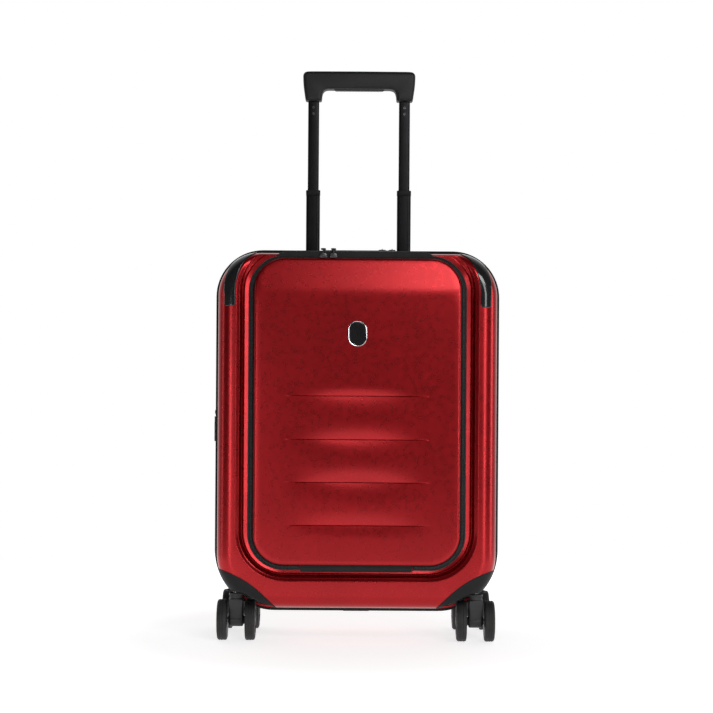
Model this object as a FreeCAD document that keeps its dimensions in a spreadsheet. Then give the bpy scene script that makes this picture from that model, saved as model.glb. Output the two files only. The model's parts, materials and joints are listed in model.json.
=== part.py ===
"""Hard-shell cabin suitcase: front access panel, expansion band, telescoping handle and twin casters.

Frame: +X to the right of somebody facing the case, +Y towards its back, +Z up, millimetres.
The origin is on the floor, under the middle of the case.
"""
import FreeCAD
import Part
import Sketcher
import math
import os
import re

from FreeCAD import Placement, Rotation, Vector

# Driving dimensions: name, value in millimetres or degrees, meaning.
DIMENSIONS = [
    # Outline of the zipper band, the widest part of the case
    ("case_width", 400, "width over the zipper band"),
    ("case_low", 38, "underside of the band above the floor"),
    ("case_high", 547, "top of the band above the floor"),
    ("corner_high", 66, "band corner radius at the top"),
    ("corner_low", 85, "band corner radius at the bottom"),
    ("band_wall", 3.5, "thickness of the band and its zipper tapes"),
    # The two shells
    ("seam", 18, "distance of each shell's rim from the middle plane"),
    ("shell_face", 97, "distance of each shell's face from the middle plane"),
    ("shell_inset", 4, "step from the band's outline down to a shell's rim"),
    ("shell_wall", 2.4, "shell thickness"),
    ("shell_draft", 3, "draft angle of the shell sides"),
    ("shell_edge", 21, "rounding between a shell's sides and its face"),
    ("over_cut", 20, "how far a cutting shape reaches past the part it cuts"),
    # Recess and opening for the front panel
    ("recess_half", 162, "half width of the recess around the panel"),
    ("recess_low", 94, "lower edge of the recess"),
    ("recess_high", 551, "upper edge of the recess, above the shell so that it is open"),
    ("recess_floor", 86, "distance of the recess floor from the middle plane"),
    ("recess_corner", 64, "corner radius of the recess"),
    ("opening_half", 148.2, "half width of the opening in the recess floor"),
    ("opening_low", 106.5, "lower edge of the opening"),
    ("opening_high", 533.5, "upper edge of the opening"),
    ("opening_corner", 46, "corner radius of the opening"),
    # Front panel
    ("panel_half", 143, "half width of the panel"),
    ("panel_low", 112, "lower edge of the panel"),
    ("panel_high", 529, "upper edge of the panel"),
    ("panel_bend", 488, "height above which the panel leans back"),
    ("panel_lean", 7, "how far the panel's top leans back"),
    ("panel_corner", 42, "corner radius of the panel"),
    ("panel_face", 100, "distance of the panel's face from the middle plane"),
    ("panel_back", 84, "distance of the panel's rear edge from the middle plane"),
    ("panel_edge", 5, "rounding of the panel's face edge"),
    ("panel_wall", 2.4, "panel thickness"),
    ("lining_wall", 4, "thickness of the padded lining on the panel"),
    ("tape_inner", 3.4, "width of the zipper tape on the panel"),
    ("tape_gap", 0.3, "gap between the two halves of a zipper"),
    ("tape_outer", 4.3, "width of the zipper tape on the shell"),
    ("tape_wall", 2, "thickness of the panel's zipper tapes"),
    ("hinge_half", 77, "half width of the panel's fabric hinge"),
    ("hinge_low", 102.5, "lower edge of the panel's fabric hinge"),
    ("slider_y", -90.3, "panel's zipper sliders, front to back"),
    # Badge
    ("badge_half", 13, "half width of the plain badge"),
    ("badge_middle", 429, "height of the badge's middle"),
    ("badge_rise", 17.5, "half height of the badge"),
    # Front pocket behind the panel
    ("pocket_flange_half", 157, "half width of the pocket's flange"),
    ("pocket_half", 146, "half width of the pocket"),
    ("pocket_low", 110, "lower side of the pocket"),
    ("pocket_high", 519, "upper side of the pocket"),
    ("pocket_back", 38, "distance of the pocket's back from the middle plane"),
    ("pocket_wall", 2, "thickness of the pocket's fabric"),
    ("pocket_corner", 38, "corner radius of the pocket"),
    # Wheels
    ("caster_x", 167, "swivel axis from the middle, across"),
    ("caster_y", 60, "swivel axis from the middle, front to back"),
    ("caster_trail", 11, "distance of the axle behind the swivel axis"),
    ("wheel_radius", 28.5, "wheel radius"),
    ("wheel_width", 15, "width of one wheel"),
    ("wheel_gap", 2.5, "gap between the fork and a wheel"),
    ("tyre_depth", 7, "radial thickness of the tyre"),
    ("axle_radius", 2.5, "radius of the axle pin"),
    ("axle_play", 0.05, "radial play of a wheel on its axle"),
    ("fork_width", 19.4, "width of the fork between the wheels"),
    ("fork_nose", 9.5, "rounding of the fork around the axle"),
    ("fork_high", 59, "top of the fork's block"),
    ("neck_radius", 10, "radius of the fork's neck"),
    ("neck_high", 68, "top of the fork's neck"),
    ("swivel_radius", 4, "radius of the swivel pin"),
    ("swivel_play", 0.05, "radial play of the swivel pin"),
    ("swivel_high", 84, "top of the swivel pin"),
    ("arch_high", 69, "ceiling of the wheel arch"),
    ("arch_wall", 3, "thickness of the wheel arch"),
    ("arch_start", 22, "distance of a wheel arch from the middle plane"),
    ("housing_start", 28, "distance of a wheel housing from the middle plane"),
    ("boss_radius", 10, "radius of the swivel boss"),
    ("boss_high", 88, "top of the swivel boss"),
    # Telescoping handle
    ("trolley_y", 62, "handle tubes behind the middle plane"),
    ("trolley_x", 66, "handle tubes from the middle"),
    ("outer_wide", 24, "fixed tube, width"),
    ("outer_deep", 17, "fixed tube, depth"),
    ("middle_wide", 20, "middle tube, width"),
    ("middle_deep", 13, "middle tube, depth"),
    ("inner_wide", 16, "inner tube, width"),
    ("inner_deep", 9, "inner tube, depth"),
    ("tube_wall", 1.6, "wall of every tube"),
    ("outer_low", 51, "lower end of the fixed tubes"),
    ("outer_high", 502, "upper end of the fixed tubes"),
    ("middle_low", 239, "lower end of the middle tubes"),
    ("middle_high", 631, "upper end of the middle tubes"),
    ("collar_high", 639, "top of the collars on the middle tubes"),
    ("inner_low", 388, "lower end of the inner tubes"),
    ("grip_low", 768, "lower end of the grip's legs"),
    ("grip_under", 785, "underside of the grip's bar"),
    ("grip_high", 811, "top of the grip"),
    ("grip_half", 81.5, "half width of the grip"),
    ("grip_deep", 28, "depth of the grip"),
    ("grip_leg", 54.4, "inner side of a leg from the grip's middle"),
    ("button_half", 35.5, "half length of the release button"),
    ("button_deep", 14, "depth of the release button"),
    ("rod_radius", 1.6, "radius of the release rods"),
    # Handles on the top and the side
    ("well_wall", 2, "wall of the plastic handle wells"),
    ("well_floor", 504, "floor of the grip's well"),
    ("handle_half", 78, "half length of a carry handle"),
    ("handle_wide", 12, "width of a carry handle"),
    ("handle_gap", 4, "gap beside a carry handle in its well"),
    ("handle_thick", 6, "thickness of a carry handle"),
    ("handle_y", 32, "carry handles behind the middle plane"),
    ("side_handle_z", 300, "height of the side handle's middle"),
    ("well_depth", 24, "depth of the wells under the carry handles"),
    ("handle_foot", 20, "length of a carry handle's guides"),
    # Lock
    ("lock_half", 50, "half length of the lock plate"),
    ("lock_front", 80, "front edge of the lock plate"),
    ("lock_back", 24, "rear edge of the lock plate"),
    ("lock_low", 524, "underside of the lock"),
    ("lock_high", 544.5, "top of the lock plate"),
    ("dial_radius", 6.5, "radius of the number dials"),
    ("dial_wide", 5, "width of a number dial"),
    ("dial_y", -44, "dials' arbor, front to back"),
    ("dial_z", 539.5, "height of the dials' arbor"),
    ("arbor_radius", 1.5, "radius of the dials' arbor"),
]
VALUES = {name: float(size) for name, size, _ in DIMENSIONS}
NAMES = re.compile(r"\b[a-z][a-z_0-9]*\b")
PLANES = {"front": "XZ_Plane", "top": "XY_Plane", "side": "YZ_Plane"}
AXES = {"x": Rotation(Vector(0, 1, 0), 90), "y": Rotation(Vector(1, 0, 0), -90), "z": Rotation()}
TOLERANCE = 1e-4

doc = FreeCAD.newDocument("Suitcase")
sheet = doc.addObject("Spreadsheet::Sheet", "Sizes")
for row, (name, size, meaning) in enumerate(DIMENSIONS, start=1):
    sheet.set(f"A{row}", meaning)
    sheet.set(f"B{row}", str(size))
    sheet.setAlias(f"B{row}", name)
doc.recompute()
nodes = []


# --- Small parametric helpers ------------------------------------------------------------------

def formula(text):
    """The expression with every dimension's name pointed at the spreadsheet."""
    return NAMES.sub(lambda m: "Sizes." + m.group() if m.group() in VALUES else m.group(), str(text))


def value(text):
    """The number that an expression stands for now."""
    return float(sheet.evalExpression(formula(text)))


def node(label, item):
    """Marks an object as one finished sub-part, saved under its label."""
    item.Label = label
    nodes.append(item)
    return item


def new_body(name):
    return doc.addObject("PartDesign::Body", name)


def new_sketch(body, plane, offset="0"):
    """A sketch on one of the body's own planes, moved along the plane's normal by offset."""
    sketch = body.newObject("Sketcher::SketchObject", body.Name + "_sketch")
    face = next(f for f in body.Origin.OriginFeatures if f.Role == PLANES[plane])
    sketch.AttachmentSupport = [(face, "")]
    sketch.MapMode = "FlatFace"
    sketch.setExpression("AttachmentOffset.Base.z", formula(offset))
    return sketch


def hold_point(sketch, geometry, end, x, y):
    """Holds one end of a sketch element at (x, y), both expressions."""
    for kind, text in (("DistanceX", x), ("DistanceY", y)):
        index = sketch.addConstraint(Sketcher.Constraint(kind, -1, 1, geometry, end, value(text)))
        sketch.setExpression(f"Constraints[{index}]", formula(text))


def polygon(sketch, points):
    """A closed outline of straight lines through points, each a pair of expressions."""
    places = [Vector(value(x), value(y), 0) for x, y in points]
    count = len(points)
    for i in range(count):
        sketch.addGeometry(Part.LineSegment(places[i], places[(i + 1) % count]))
    for i in range(count):
        sketch.addConstraint(Sketcher.Constraint("Coincident", i, 2, (i + 1) % count, 1))
        hold_point(sketch, i, 1, *points[i])


def rounded_rectangle(sketch, left, right, low, high, radii):
    """A rectangle with a radius at each corner: low right, high right, high left, low left."""
    x0, x1, y0, y1 = (value(t) for t in (left, right, low, high))
    r = [value(t) for t in radii]
    centres = [
        (x1 - r[0], y0 + r[0]),
        (x1 - r[1], y1 - r[1]),
        (x0 + r[2], y1 - r[2]),
        (x0 + r[3], y0 + r[3]),
    ]
    sides = [
        ((x0 + r[3], y0), (x1 - r[0], y0)),
        ((x1, y0 + r[0]), (x1, y1 - r[1])),
        ((x1 - r[1], y1), (x0 + r[2], y1)),
        ((x0, y1 - r[2]), (x0, y0 + r[3])),
    ]
    for i in range(4):
        start, end = sides[i]
        sketch.addGeometry(Part.LineSegment(Vector(*start, 0), Vector(*end, 0)))
        circle = Part.Circle(Vector(*centres[i], 0), Vector(0, 0, 1), r[i])
        sketch.addGeometry(Part.ArcOfCircle(circle, (i - 1) * math.pi / 2, i * math.pi / 2))
    for i in range(8):
        sketch.addConstraint(Sketcher.Constraint("Tangent", i, 2, (i + 1) % 8, 1))
    for i in range(4):
        direction = "Vertical" if i % 2 else "Horizontal"
        sketch.addConstraint(Sketcher.Constraint(direction, 2 * i))
        index = sketch.addConstraint(Sketcher.Constraint("Radius", 2 * i + 1, r[i]))
        sketch.setExpression(f"Constraints[{index}]", formula(radii[i]))
    for kind, line, text in (("DistanceY", 0, low), ("DistanceX", 2, right),
                             ("DistanceY", 4, high), ("DistanceX", 6, left)):
        index = sketch.addConstraint(Sketcher.Constraint(kind, -1, 1, line, 1, value(text)))
        sketch.setExpression(f"Constraints[{index}]", formula(text))


def pad(body, sketch, length, reverse=False, taper=None):
    feature = body.newObject("PartDesign::Pad", body.Name + "_pad")
    feature.Profile = sketch
    feature.setExpression("Length", formula(length))
    feature.Reversed = reverse
    if taper:
        feature.setExpression("TaperAngle", formula(taper))
    doc.recompute()
    return body


def fillet(body, radius, wanted):
    """Rounds the edges of the body's last feature that wanted(edge) picks."""
    tip = body.Tip
    edges = [f"Edge{i}" for i, edge in enumerate(tip.Shape.Edges, start=1) if wanted(edge)]
    feature = body.newObject("PartDesign::Fillet", body.Name + "_fillet")
    feature.Base = (tip, edges)
    feature.setExpression("Radius", formula(radius))
    doc.recompute()
    return body


def at_y(place):
    """Picks the edges that lie in the plane y = place."""
    where = value(place)
    return lambda edge: (abs(edge.BoundBox.YMin - where) < TOLERANCE
                         and abs(edge.BoundBox.YMax - where) < TOLERANCE)


def at_z(place):
    """Picks the edges that lie in the plane z = place."""
    where = value(place)
    return lambda edge: (abs(edge.BoundBox.ZMin - where) < TOLERANCE
                         and abs(edge.BoundBox.ZMax - where) < TOLERANCE)


def slab(name, left, right, low, high, radii, back, depth, reverse=False, taper=None):
    """A rounded rectangle seen from the front, from y = back forwards by depth, or backwards."""
    body = new_body(name)
    sketch = new_sketch(body, "front", f"-({back})")
    rounded_rectangle(sketch, left, right, low, high, radii)
    return pad(body, sketch, depth, reverse, taper)


def upright(name, left, right, front, back, radius, low, height):
    """A rounded rectangle seen from above, from z = low upwards by height."""
    body = new_body(name)
    sketch = new_sketch(body, "top", low)
    rounded_rectangle(sketch, left, right, front, back, [radius] * 4)
    return pad(body, sketch, height)


def extrusion(name, plane, points, start, length, reverse=False):
    body = new_body(name)
    sketch = new_sketch(body, plane, start)
    polygon(sketch, points)
    return pad(body, sketch, length, reverse)


def placed(item, x, y, z, turn=None):
    for axis, text in zip("xyz", (x, y, z)):
        item.setExpression(f"Placement.Base.{axis}", formula(text))
    if turn:
        item.Placement = Placement(item.Placement.Base, turn)
    return item


def box(name, length, width, height, x, y, z):
    item = doc.addObject("Part::Box", name)
    item.setExpression("Length", formula(length))
    item.setExpression("Width", formula(width))
    item.setExpression("Height", formula(height))
    return placed(item, x, y, z)


def cylinder(name, radius, height, x, y, z, axis="z"):
    item = doc.addObject("Part::Cylinder", name)
    item.setExpression("Radius", formula(radius))
    item.setExpression("Height", formula(height))
    return placed(item, x, y, z, AXES[axis])


def group(name, items):
    item = doc.addObject("Part::Compound", name)
    item.Links = items
    doc.recompute()
    return item


def fuse(name, items):
    item = doc.addObject("Part::MultiFuse", name)
    item.Shapes = items
    doc.recompute()
    return item


def cut(name, base, tools):
    item = doc.addObject("Part::Cut", name)
    item.Base = base
    item.Tool = tools[0] if len(tools) == 1 else group(name + "_tools", tools)
    doc.recompute()
    return item


def common(name, base, tool):
    item = doc.addObject("Part::Common", name)
    item.Base = base
    item.Tool = tool
    doc.recompute()
    return item


def mirror(name, item, normal=(1, 0, 0)):
    copy = doc.addObject("Part::Mirroring", name)
    copy.Source = item
    copy.Normal = Vector(*normal)
    copy.Base = Vector()
    doc.recompute()
    return copy


def pair(name, item):
    """The object and its mirror image across the middle of the case."""
    return group(name, [item, mirror(name + "_other", item)])


def tube(name, x, y, wide, deep, low, high, wall, radius):
    """A rounded rectangular tube on the vertical line (x, y)."""
    solids = []
    for part, less in (("skin", "0"), ("core", wall)):
        solids.append(upright(
            f"{name}_{part}",
            f"{x} - ({wide}) / 2 + {less}", f"{x} + ({wide}) / 2 - {less}",
            f"{y} - ({deep}) / 2 + {less}", f"{y} + ({deep}) / 2 - {less}",
            f"{radius} - {less}", low, f"{high} - ({low})"))
    return cut(name, solids[0], [solids[1]])


# --- Shells ------------------------------------------------------------------------------------

def case_outline(inset):
    """Left, right, low, high and radii of the band's outline, moved inwards by inset."""
    return (
        f"-case_width / 2 + {inset}", f"case_width / 2 - ({inset})",
        f"case_low + {inset}", f"case_high - ({inset})",
        [f"corner_{end} - ({inset})" for end in ("low", "high", "high", "low")],
    )


def tub(name, inset, back):
    """One half of the case as a solid, its walls moved inwards by inset: back is True for the rear half."""
    start = "seam" if back else "-seam"
    body = slab(name, *case_outline(f"shell_inset + {inset}"), start,
                f"shell_face - seam - ({inset})", back, "-shell_draft")
    face = f"shell_face - ({inset})" if back else f"-(shell_face - ({inset}))"
    return fillet(body, f"shell_edge - ({inset})", at_y(face))


def arch_outline(more):
    """The space that the casters turn in, seen from the front on the right, with its walls moved by more."""
    return [
        ("case_width / 2 + 30", "-10"), ("case_width / 2 + 30", f"arch_high + {more}"),
        ("156.5", f"arch_high + {more}"), ("151", f"arch_high - 3 + {more}"),
        ("119", f"arch_high - 20 + {more}"), (f"104 - {more}", f"case_low + 4 + {more}"),
        (f"104 - {more}", "-10"),
    ]


def corners(name, points, start):
    """An extruded outline at all four lower corners, from start to beyond the shells' faces."""
    one = extrusion(name, "front", points, start, f"shell_face + 30 - {start}")
    right = group(name + "_right", [one, mirror(name + "_rear", one, (0, 1, 0))])
    return pair(name + "_all", right)


arch = corners("arch", arch_outline("0"), "arch_start")
arch_skin = corners("arch_skin", arch_outline("arch_wall"), "(arch_start - arch_wall)")
corner_block = corners("corner_block", [
    ("95", "20"), ("case_width / 2 + 30", "20"), ("case_width / 2 + 30", "104"),
    ("181", "102"), ("152", "87"), ("132", "71"), ("113", "50"),
], "housing_start")


def wheel_housings(side, outer, cavity):
    """The plastic corners that carry the casters: the shell's own shape, an arch and a boss for the pin."""
    y = "caster_y" if side == "rear" else "-caster_y"
    skin = common(f"{side}_corner", outer, corner_block)
    hollow = cut(f"{side}_corner_hollow", skin, [arch, cavity])
    boss = cylinder(f"{side}_boss", "boss_radius", "boss_high - arch_high - 1", "caster_x", y, "arch_high + 1")
    bosses = pair(f"{side}_bosses", boss)
    bore = cylinder(f"{side}_bore", "swivel_radius + swivel_play", "boss_high - arch_high + 2",
                    "caster_x", y, "arch_high - 1")
    solid = fuse(f"{side}_housing_solid", [hollow, bosses])
    return cut(f"{side}_housings", solid, [pair(f"{side}_bores", bore)])


def corner_guards(side, inner_tub, back):
    """Thin caps over the two upper corners of a shell. At the back they stay off its flat face."""
    cover = tub(f"{side}_guard_cover", "-1.2", back)
    start = "shell_face + 5" if back else "-52"
    depth = "shell_face - 47"
    inner = [("170.5", "494"), ("172.5", "485"), ("172.5", "466")] if back else [("168.5", "492"),
                                                                               ("168.5", "466")]
    outline = [("case_width / 2 + 10", "466"), ("case_width / 2 + 10", "case_high + 10"),
               ("140", "case_high + 10"), ("152", "532"), ("159.5", "524.5"), ("165.5", "508")] + inner
    region = extrusion(f"{side}_guard_region", "front", outline, f"-({start})", depth)
    caps = common(f"{side}_guard_caps", cut(f"{side}_guard_skin", cover, [inner_tub]), region)
    return pair(f"{side}_guards", caps)


front_outer = tub("front_outer", "0", False)
front_inner = tub("front_inner", "shell_wall", False)
front_cavity = cut("front_cavity", front_inner, [arch_skin])
rear_outer = tub("rear_outer", "0", True)
rear_inner = tub("rear_inner", "shell_wall", True)
rear_cavity = cut("rear_cavity", rear_inner, [arch_skin])

lock_hole = box("lock_hole", "2 * lock_half", "lock_front - lock_back", "40",
                "-lock_half", "-lock_front", "lock_low")


def front_shell():
    """Outer half with a recessed frame around the panel and an opening into the pocket."""
    recess = slab("recess", "-recess_half", "recess_half", "recess_low", "recess_high",
                  ["recess_corner"] * 4, "-recess_floor", "over_cut")
    recess_back = slab("recess_back", "-recess_half - shell_wall", "recess_half + shell_wall",
                       "recess_low - shell_wall", "recess_high + over_cut",
                       ["recess_corner"] * 4, "-recess_floor + shell_wall", "over_cut + shell_wall")
    opening = slab("opening", "-opening_half", "opening_half", "opening_low", "opening_high",
                   ["opening_corner"] * 4, "-recess_floor + 10", "over_cut")
    cavity = cut("front_room", front_cavity, [recess_back])
    hollow = cut("front_hollow", front_outer, [cavity])
    return cut("front_shell_solid", hollow, [recess, opening, arch, corner_block, lock_hole])


grip_well_hole = box("grip_well_hole", "2 * grip_half + 6 + 2 * well_wall",
                     "grip_deep + 4 + 2 * well_wall", "80", "-grip_half - 3 - well_wall",
                     "trolley_y - grip_deep / 2 - 2 - well_wall", "well_floor - well_wall")
top_well_hole = box("top_well_hole", "2 * handle_half + 12 + 2 * well_wall",
                    "handle_wide + 2 * handle_gap + 2 * well_wall", "60", "-handle_half - 6 - well_wall",
                    "handle_y - handle_wide / 2 - handle_gap - well_wall",
                    "case_high - shell_inset - well_depth - well_wall")
side_well_hole = box("side_well_hole", "60", "handle_wide + 2 * handle_gap + 2 * well_wall",
                     "2 * handle_half + 12 + 2 * well_wall",
                     "-case_width / 2 + shell_inset + well_depth + well_wall - 60",
                     "handle_y - handle_wide / 2 - handle_gap - well_wall",
                     "side_handle_z - handle_half - 6 - well_wall")

node("front_shell", front_shell())
node("rear_shell", cut("rear_shell_solid", cut("rear_hollow", rear_outer, [rear_cavity]),
                       [arch, corner_block, grip_well_hole, top_well_hole, side_well_hole]))
node("front_wheel_housings", wheel_housings("front", front_outer, front_cavity))
node("rear_wheel_housings", wheel_housings("rear", rear_outer, rear_cavity))
node("front_corner_guards", corner_guards("front", front_outer, False))
node("rear_corner_guards", corner_guards("rear", rear_outer, True))


# --- Zipper band and lining rings --------------------------------------------------------------

def ring(name, inset, wall, front, back):
    """A closed band that follows the case's outline, from y = front to y = back."""
    depth = f"({back}) - ({front})"
    skin = slab(name + "_skin", *case_outline(inset), back, depth)
    core = slab(name + "_core", *case_outline(f"{inset} + {wall}"), back, depth)
    return cut(name, skin, [core])


node("main_zipper_front", ring("main_front", "0", "band_wall + 2.9", "-seam", "-seam + 3.6"))
node("main_zipper_rear", ring("main_rear", "0", "band_wall", "-seam + 3.9", "-seam + 9"))
seal = box("band_seal", "38", "10", "3", "-19", "-4", "case_low - 2.4")
node("expansion_band", fuse("band_with_seal", [ring("band", "0", "band_wall", "-seam + 9", "seam - 9"), seal]))
node("expansion_zipper_front", ring("expansion_front", "0", "band_wall", "seam - 9", "seam - 4.2"))
node("expansion_zipper_rear", ring("expansion_rear", "0", "band_wall + 2.9", "seam - 3.9", "seam"))
node("expansion_gusset", ring("gusset", "band_wall + 2.9", "1.4", "-seam + 5", "seam"))
node("main_hinge_strip", box("hinge_strip", "1.6", "12", "330", "case_width / 2 - band_wall - 1.6",
                             "-seam + 9", "130"))


# --- Front panel -------------------------------------------------------------------------------

def panel_outline(more, radius="panel_corner"):
    return ("-panel_half - " + more, "panel_half + " + more, "panel_low - " + more, "panel_high + " + more,
            [f"{radius} + {more}"] * 4)


def panel_hollow(name, high, depth):
    """A hollow in the panel's back, depth deep, up to high."""
    return slab(name, "-panel_half + panel_wall", "panel_half - panel_wall", "panel_low + panel_wall", high,
                ["panel_corner - panel_wall"] * 4, "-panel_back", depth)


def front_panel():
    """A shallow tray: its face and rim, hollow towards the pocket, its top leaning back."""
    face = slab("panel_face_solid", *panel_outline("0"), "-panel_back", "panel_face - panel_back")
    fillet(face, "panel_edge", at_y("-panel_face"))
    wedge = extrusion("panel_wedge", "side", [
        ("-panel_face", "panel_bend"), ("-panel_face + panel_lean", "panel_high"),
        ("-panel_face + panel_lean", "panel_high + over_cut"),
        ("-panel_face - over_cut", "panel_high + over_cut"),
        ("-panel_face - over_cut", "panel_bend"),
    ], "-panel_half - over_cut", "2 * panel_half + 2 * over_cut")
    deep = panel_hollow("panel_hollow", "panel_bend", "panel_face - panel_back - panel_wall")
    shallow = panel_hollow("panel_hollow_top", "panel_high - panel_wall",
                           "panel_face - panel_back - panel_wall - panel_lean")
    return cut("panel_solid", face, [wedge, fuse("panel_hollows", [deep, shallow])])


def panel_tape(name, inside, outside):
    """One half of the panel's zipper: a band around the panel, left out at the hinge."""
    back = "-recess_floor"
    skin = slab(name + "_skin", *panel_outline(outside), back, "tape_wall")
    core = slab(name + "_core", *panel_outline(inside), back, "tape_wall")
    gap = box(name + "_gap", "2 * hinge_half + 0.6", "40", "40", "-hinge_half - 0.3", "-recess_floor - 20",
              "panel_low - 30")
    return cut(name, skin, [core, gap])


node("front_panel", front_panel())
node("panel_zipper_inner", panel_tape("tape_inner_ring", "0", "tape_inner"))
node("panel_zipper_outer", panel_tape("tape_outer_ring", "tape_inner + tape_gap",
                                      "tape_inner + tape_gap + tape_outer"))
node("panel_hinge_strip", box("panel_hinge", "2 * hinge_half", "tape_wall", "panel_low - hinge_low - 0.3",
                              "-hinge_half", "-recess_floor - tape_wall", "hinge_low"))
badge = slab("badge", "-badge_half", "badge_half", "badge_middle - badge_rise", "badge_middle + badge_rise",
             ["badge_half - 0.5"] * 4, "-panel_face", "1.6")
node("badge_plate", fillet(badge, "0.6", at_y("-panel_face - 1.6")))
node("panel_lining", slab("panel_lining_pad", "-panel_half + panel_wall + 3", "panel_half - panel_wall - 3",
                          "panel_low + panel_wall + 3", "panel_high - panel_wall - 3",
                          ["panel_corner - panel_wall - 3"] * 4, "-panel_back - 0.5",
                          "lining_wall"))


def front_pocket():
    """The fabric box behind the panel, with a flange against the back of the recess."""
    mouth = "-recess_floor + shell_wall + 0.2 + 1.5"
    depth = "recess_floor - shell_wall - 0.2 - pocket_back"
    flange = slab("pocket_flange", "-pocket_flange_half", "pocket_flange_half", "99", "532",
                  ["opening_corner + 6"] * 4, mouth, "1.5")
    body = slab("pocket_body", "-pocket_half", "pocket_half", "pocket_low", "pocket_high",
                ["pocket_corner"] * 4, "-pocket_back", depth)
    hollow = slab("pocket_hollow", "-pocket_half + pocket_wall", "pocket_half - pocket_wall",
                  "pocket_low + pocket_wall", "pocket_high - pocket_wall",
                  ["pocket_corner - pocket_wall"] * 4, "-pocket_back - pocket_wall", depth)
    return cut("pocket", fuse("pocket_solid", [flange, body]), [hollow])


node("front_pocket", front_pocket())


# --- Wells, tubes and the telescoping handle ----------------------------------------------------

def shaft_space(name, low, height, more):
    """The space of a fixed tube's outside, made larger by more."""
    space = upright(name, f"trolley_x - outer_wide / 2 - ({more})", f"trolley_x + outer_wide / 2 + {more}",
                    f"trolley_y - outer_deep / 2 - ({more})", f"trolley_y + outer_deep / 2 + {more}",
                    "4", low, height)
    return pair(name + "_pair", space)


def top_well():
    """The plastic trough in the rear shell's top that the grip sinks into."""
    high = "case_high - shell_inset + 1"
    block = upright("grip_well_block", "-grip_half - 3 - well_wall", "grip_half + 3 + well_wall",
                    "trolley_y - grip_deep / 2 - 2 - well_wall", "trolley_y + grip_deep / 2 + 2 + well_wall",
                    "5", "well_floor - well_wall", f"{high} - well_floor + well_wall")
    space = upright("grip_well_space", "-grip_half - 3", "grip_half + 3", "trolley_y - grip_deep / 2 - 2",
                    "trolley_y + grip_deep / 2 + 2", "4", "well_floor", "80")
    return cut("grip_well_solid", block, [space, shaft_space("well_shaft", "well_floor - 10", "30", "-1.4")])


def handle_well():
    """The trough under the top handle."""
    low = "case_high - shell_inset - well_depth"
    solids = [upright(f"top_well_{part}", f"-handle_half - 6 - {more}", f"handle_half + 6 + {more}",
                      f"handle_y - handle_wide / 2 - handle_gap - {more}",
                      f"handle_y + handle_wide / 2 + handle_gap + {more}",
                      f"3 + {more} / 2", f"{low} - {more}", height)
              for part, more, height in (("block", "well_wall", "well_depth + well_wall + 1"),
                                         ("space", "0", "60"))]
    return cut("top_well_solid", solids[0], [solids[1]])


def side_well():
    """The trough under the side handle, open to the left."""
    block = box("side_well_block", "well_depth + well_wall + 0.5",
                "handle_wide + 2 * handle_gap + 2 * well_wall", "2 * handle_half + 12 + 2 * well_wall",
                "-case_width / 2 + shell_inset - 0.5", "handle_y - handle_wide / 2 - handle_gap - well_wall",
                "side_handle_z - handle_half - 6 - well_wall")
    space = box("side_well_space", "60", "handle_wide + 2 * handle_gap", "2 * handle_half + 12",
                "-case_width / 2 + shell_inset + well_depth - 60",
                "handle_y - handle_wide / 2 - handle_gap", "side_handle_z - handle_half - 6")
    return cut("side_well_solid", block, [space])


node("grip_well", top_well())
node("top_handle_well", handle_well())
node("side_handle_well", side_well())

outer_tube = tube("outer_tube", "trolley_x", "trolley_y", "outer_wide", "outer_deep", "outer_low", "outer_high",
                  "tube_wall", "4")
node("trolley_outer_tubes", pair("outer_tubes", outer_tube))
middle_tube = tube("middle_tube", "trolley_x", "trolley_y", "middle_wide", "middle_deep", "middle_low",
                   "middle_high", "tube_wall", "3.4")
node("trolley_middle_tubes", pair("middle_tubes", middle_tube))
collar = tube("collar", "trolley_x", "trolley_y", "middle_wide", "middle_deep", "middle_high", "collar_high",
              "1.65", "3.4")
node("trolley_collars", pair("collars", collar))
inner_tube = tube("inner_tube", "trolley_x", "trolley_y", "inner_wide", "inner_deep", "inner_low",
                  "grip_low + 6", "1.4", "2.8")
node("trolley_inner_tubes", pair("inner_tubes", inner_tube))


def grip():
    """The bar with its two legs, hollow where the button and the rods move."""
    points = [
        ("grip_leg", "grip_low"), ("grip_half - 3.5", "grip_low"), ("grip_half", "grip_high - 8"),
        ("grip_half - 5", "grip_high - 1.5"), ("0", "grip_high"), ("-grip_half + 5", "grip_high - 1.5"),
        ("-grip_half", "grip_high - 8"), ("-grip_half + 3.5", "grip_low"), ("-grip_leg", "grip_low"),
        ("-grip_leg + 2", "grip_under - 6"), ("-grip_leg + 9", "grip_under"), ("grip_leg - 9", "grip_under"),
        ("grip_leg - 2", "grip_under - 6"),
    ]
    body = extrusion("grip_body", "front", points, "-(trolley_y + grip_deep / 2)", "grip_deep")
    fillet(body, "5", lambda e: at_y("trolley_y - grip_deep / 2")(e) or at_y("trolley_y + grip_deep / 2")(e))
    socket = upright("grip_socket", "trolley_x - inner_wide / 2", "trolley_x + inner_wide / 2",
                     "trolley_y - inner_deep / 2", "trolley_y + inner_deep / 2", "2.8", "grip_low - 1", "7")
    channel = box("grip_channel", "2 * trolley_x + 8", "8", "10", "-trolley_x - 4", "trolley_y - 4",
                  "grip_under + 5")
    shaft = box("grip_shaft", "8", "8", "30", "trolley_x - 4", "trolley_y - 4", "grip_low + 5")
    mouth = box("button_mouth", "2 * button_half + 0.8", "button_deep + 0.8", "9", "-button_half - 0.4",
                "trolley_y - button_deep / 2 - 0.4", "grip_under - 1")
    return cut("grip_solid", body, [fuse("grip_spaces", [channel, pair("grip_shafts", shaft), mouth]),
                                    pair("grip_sockets", socket)])


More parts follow.
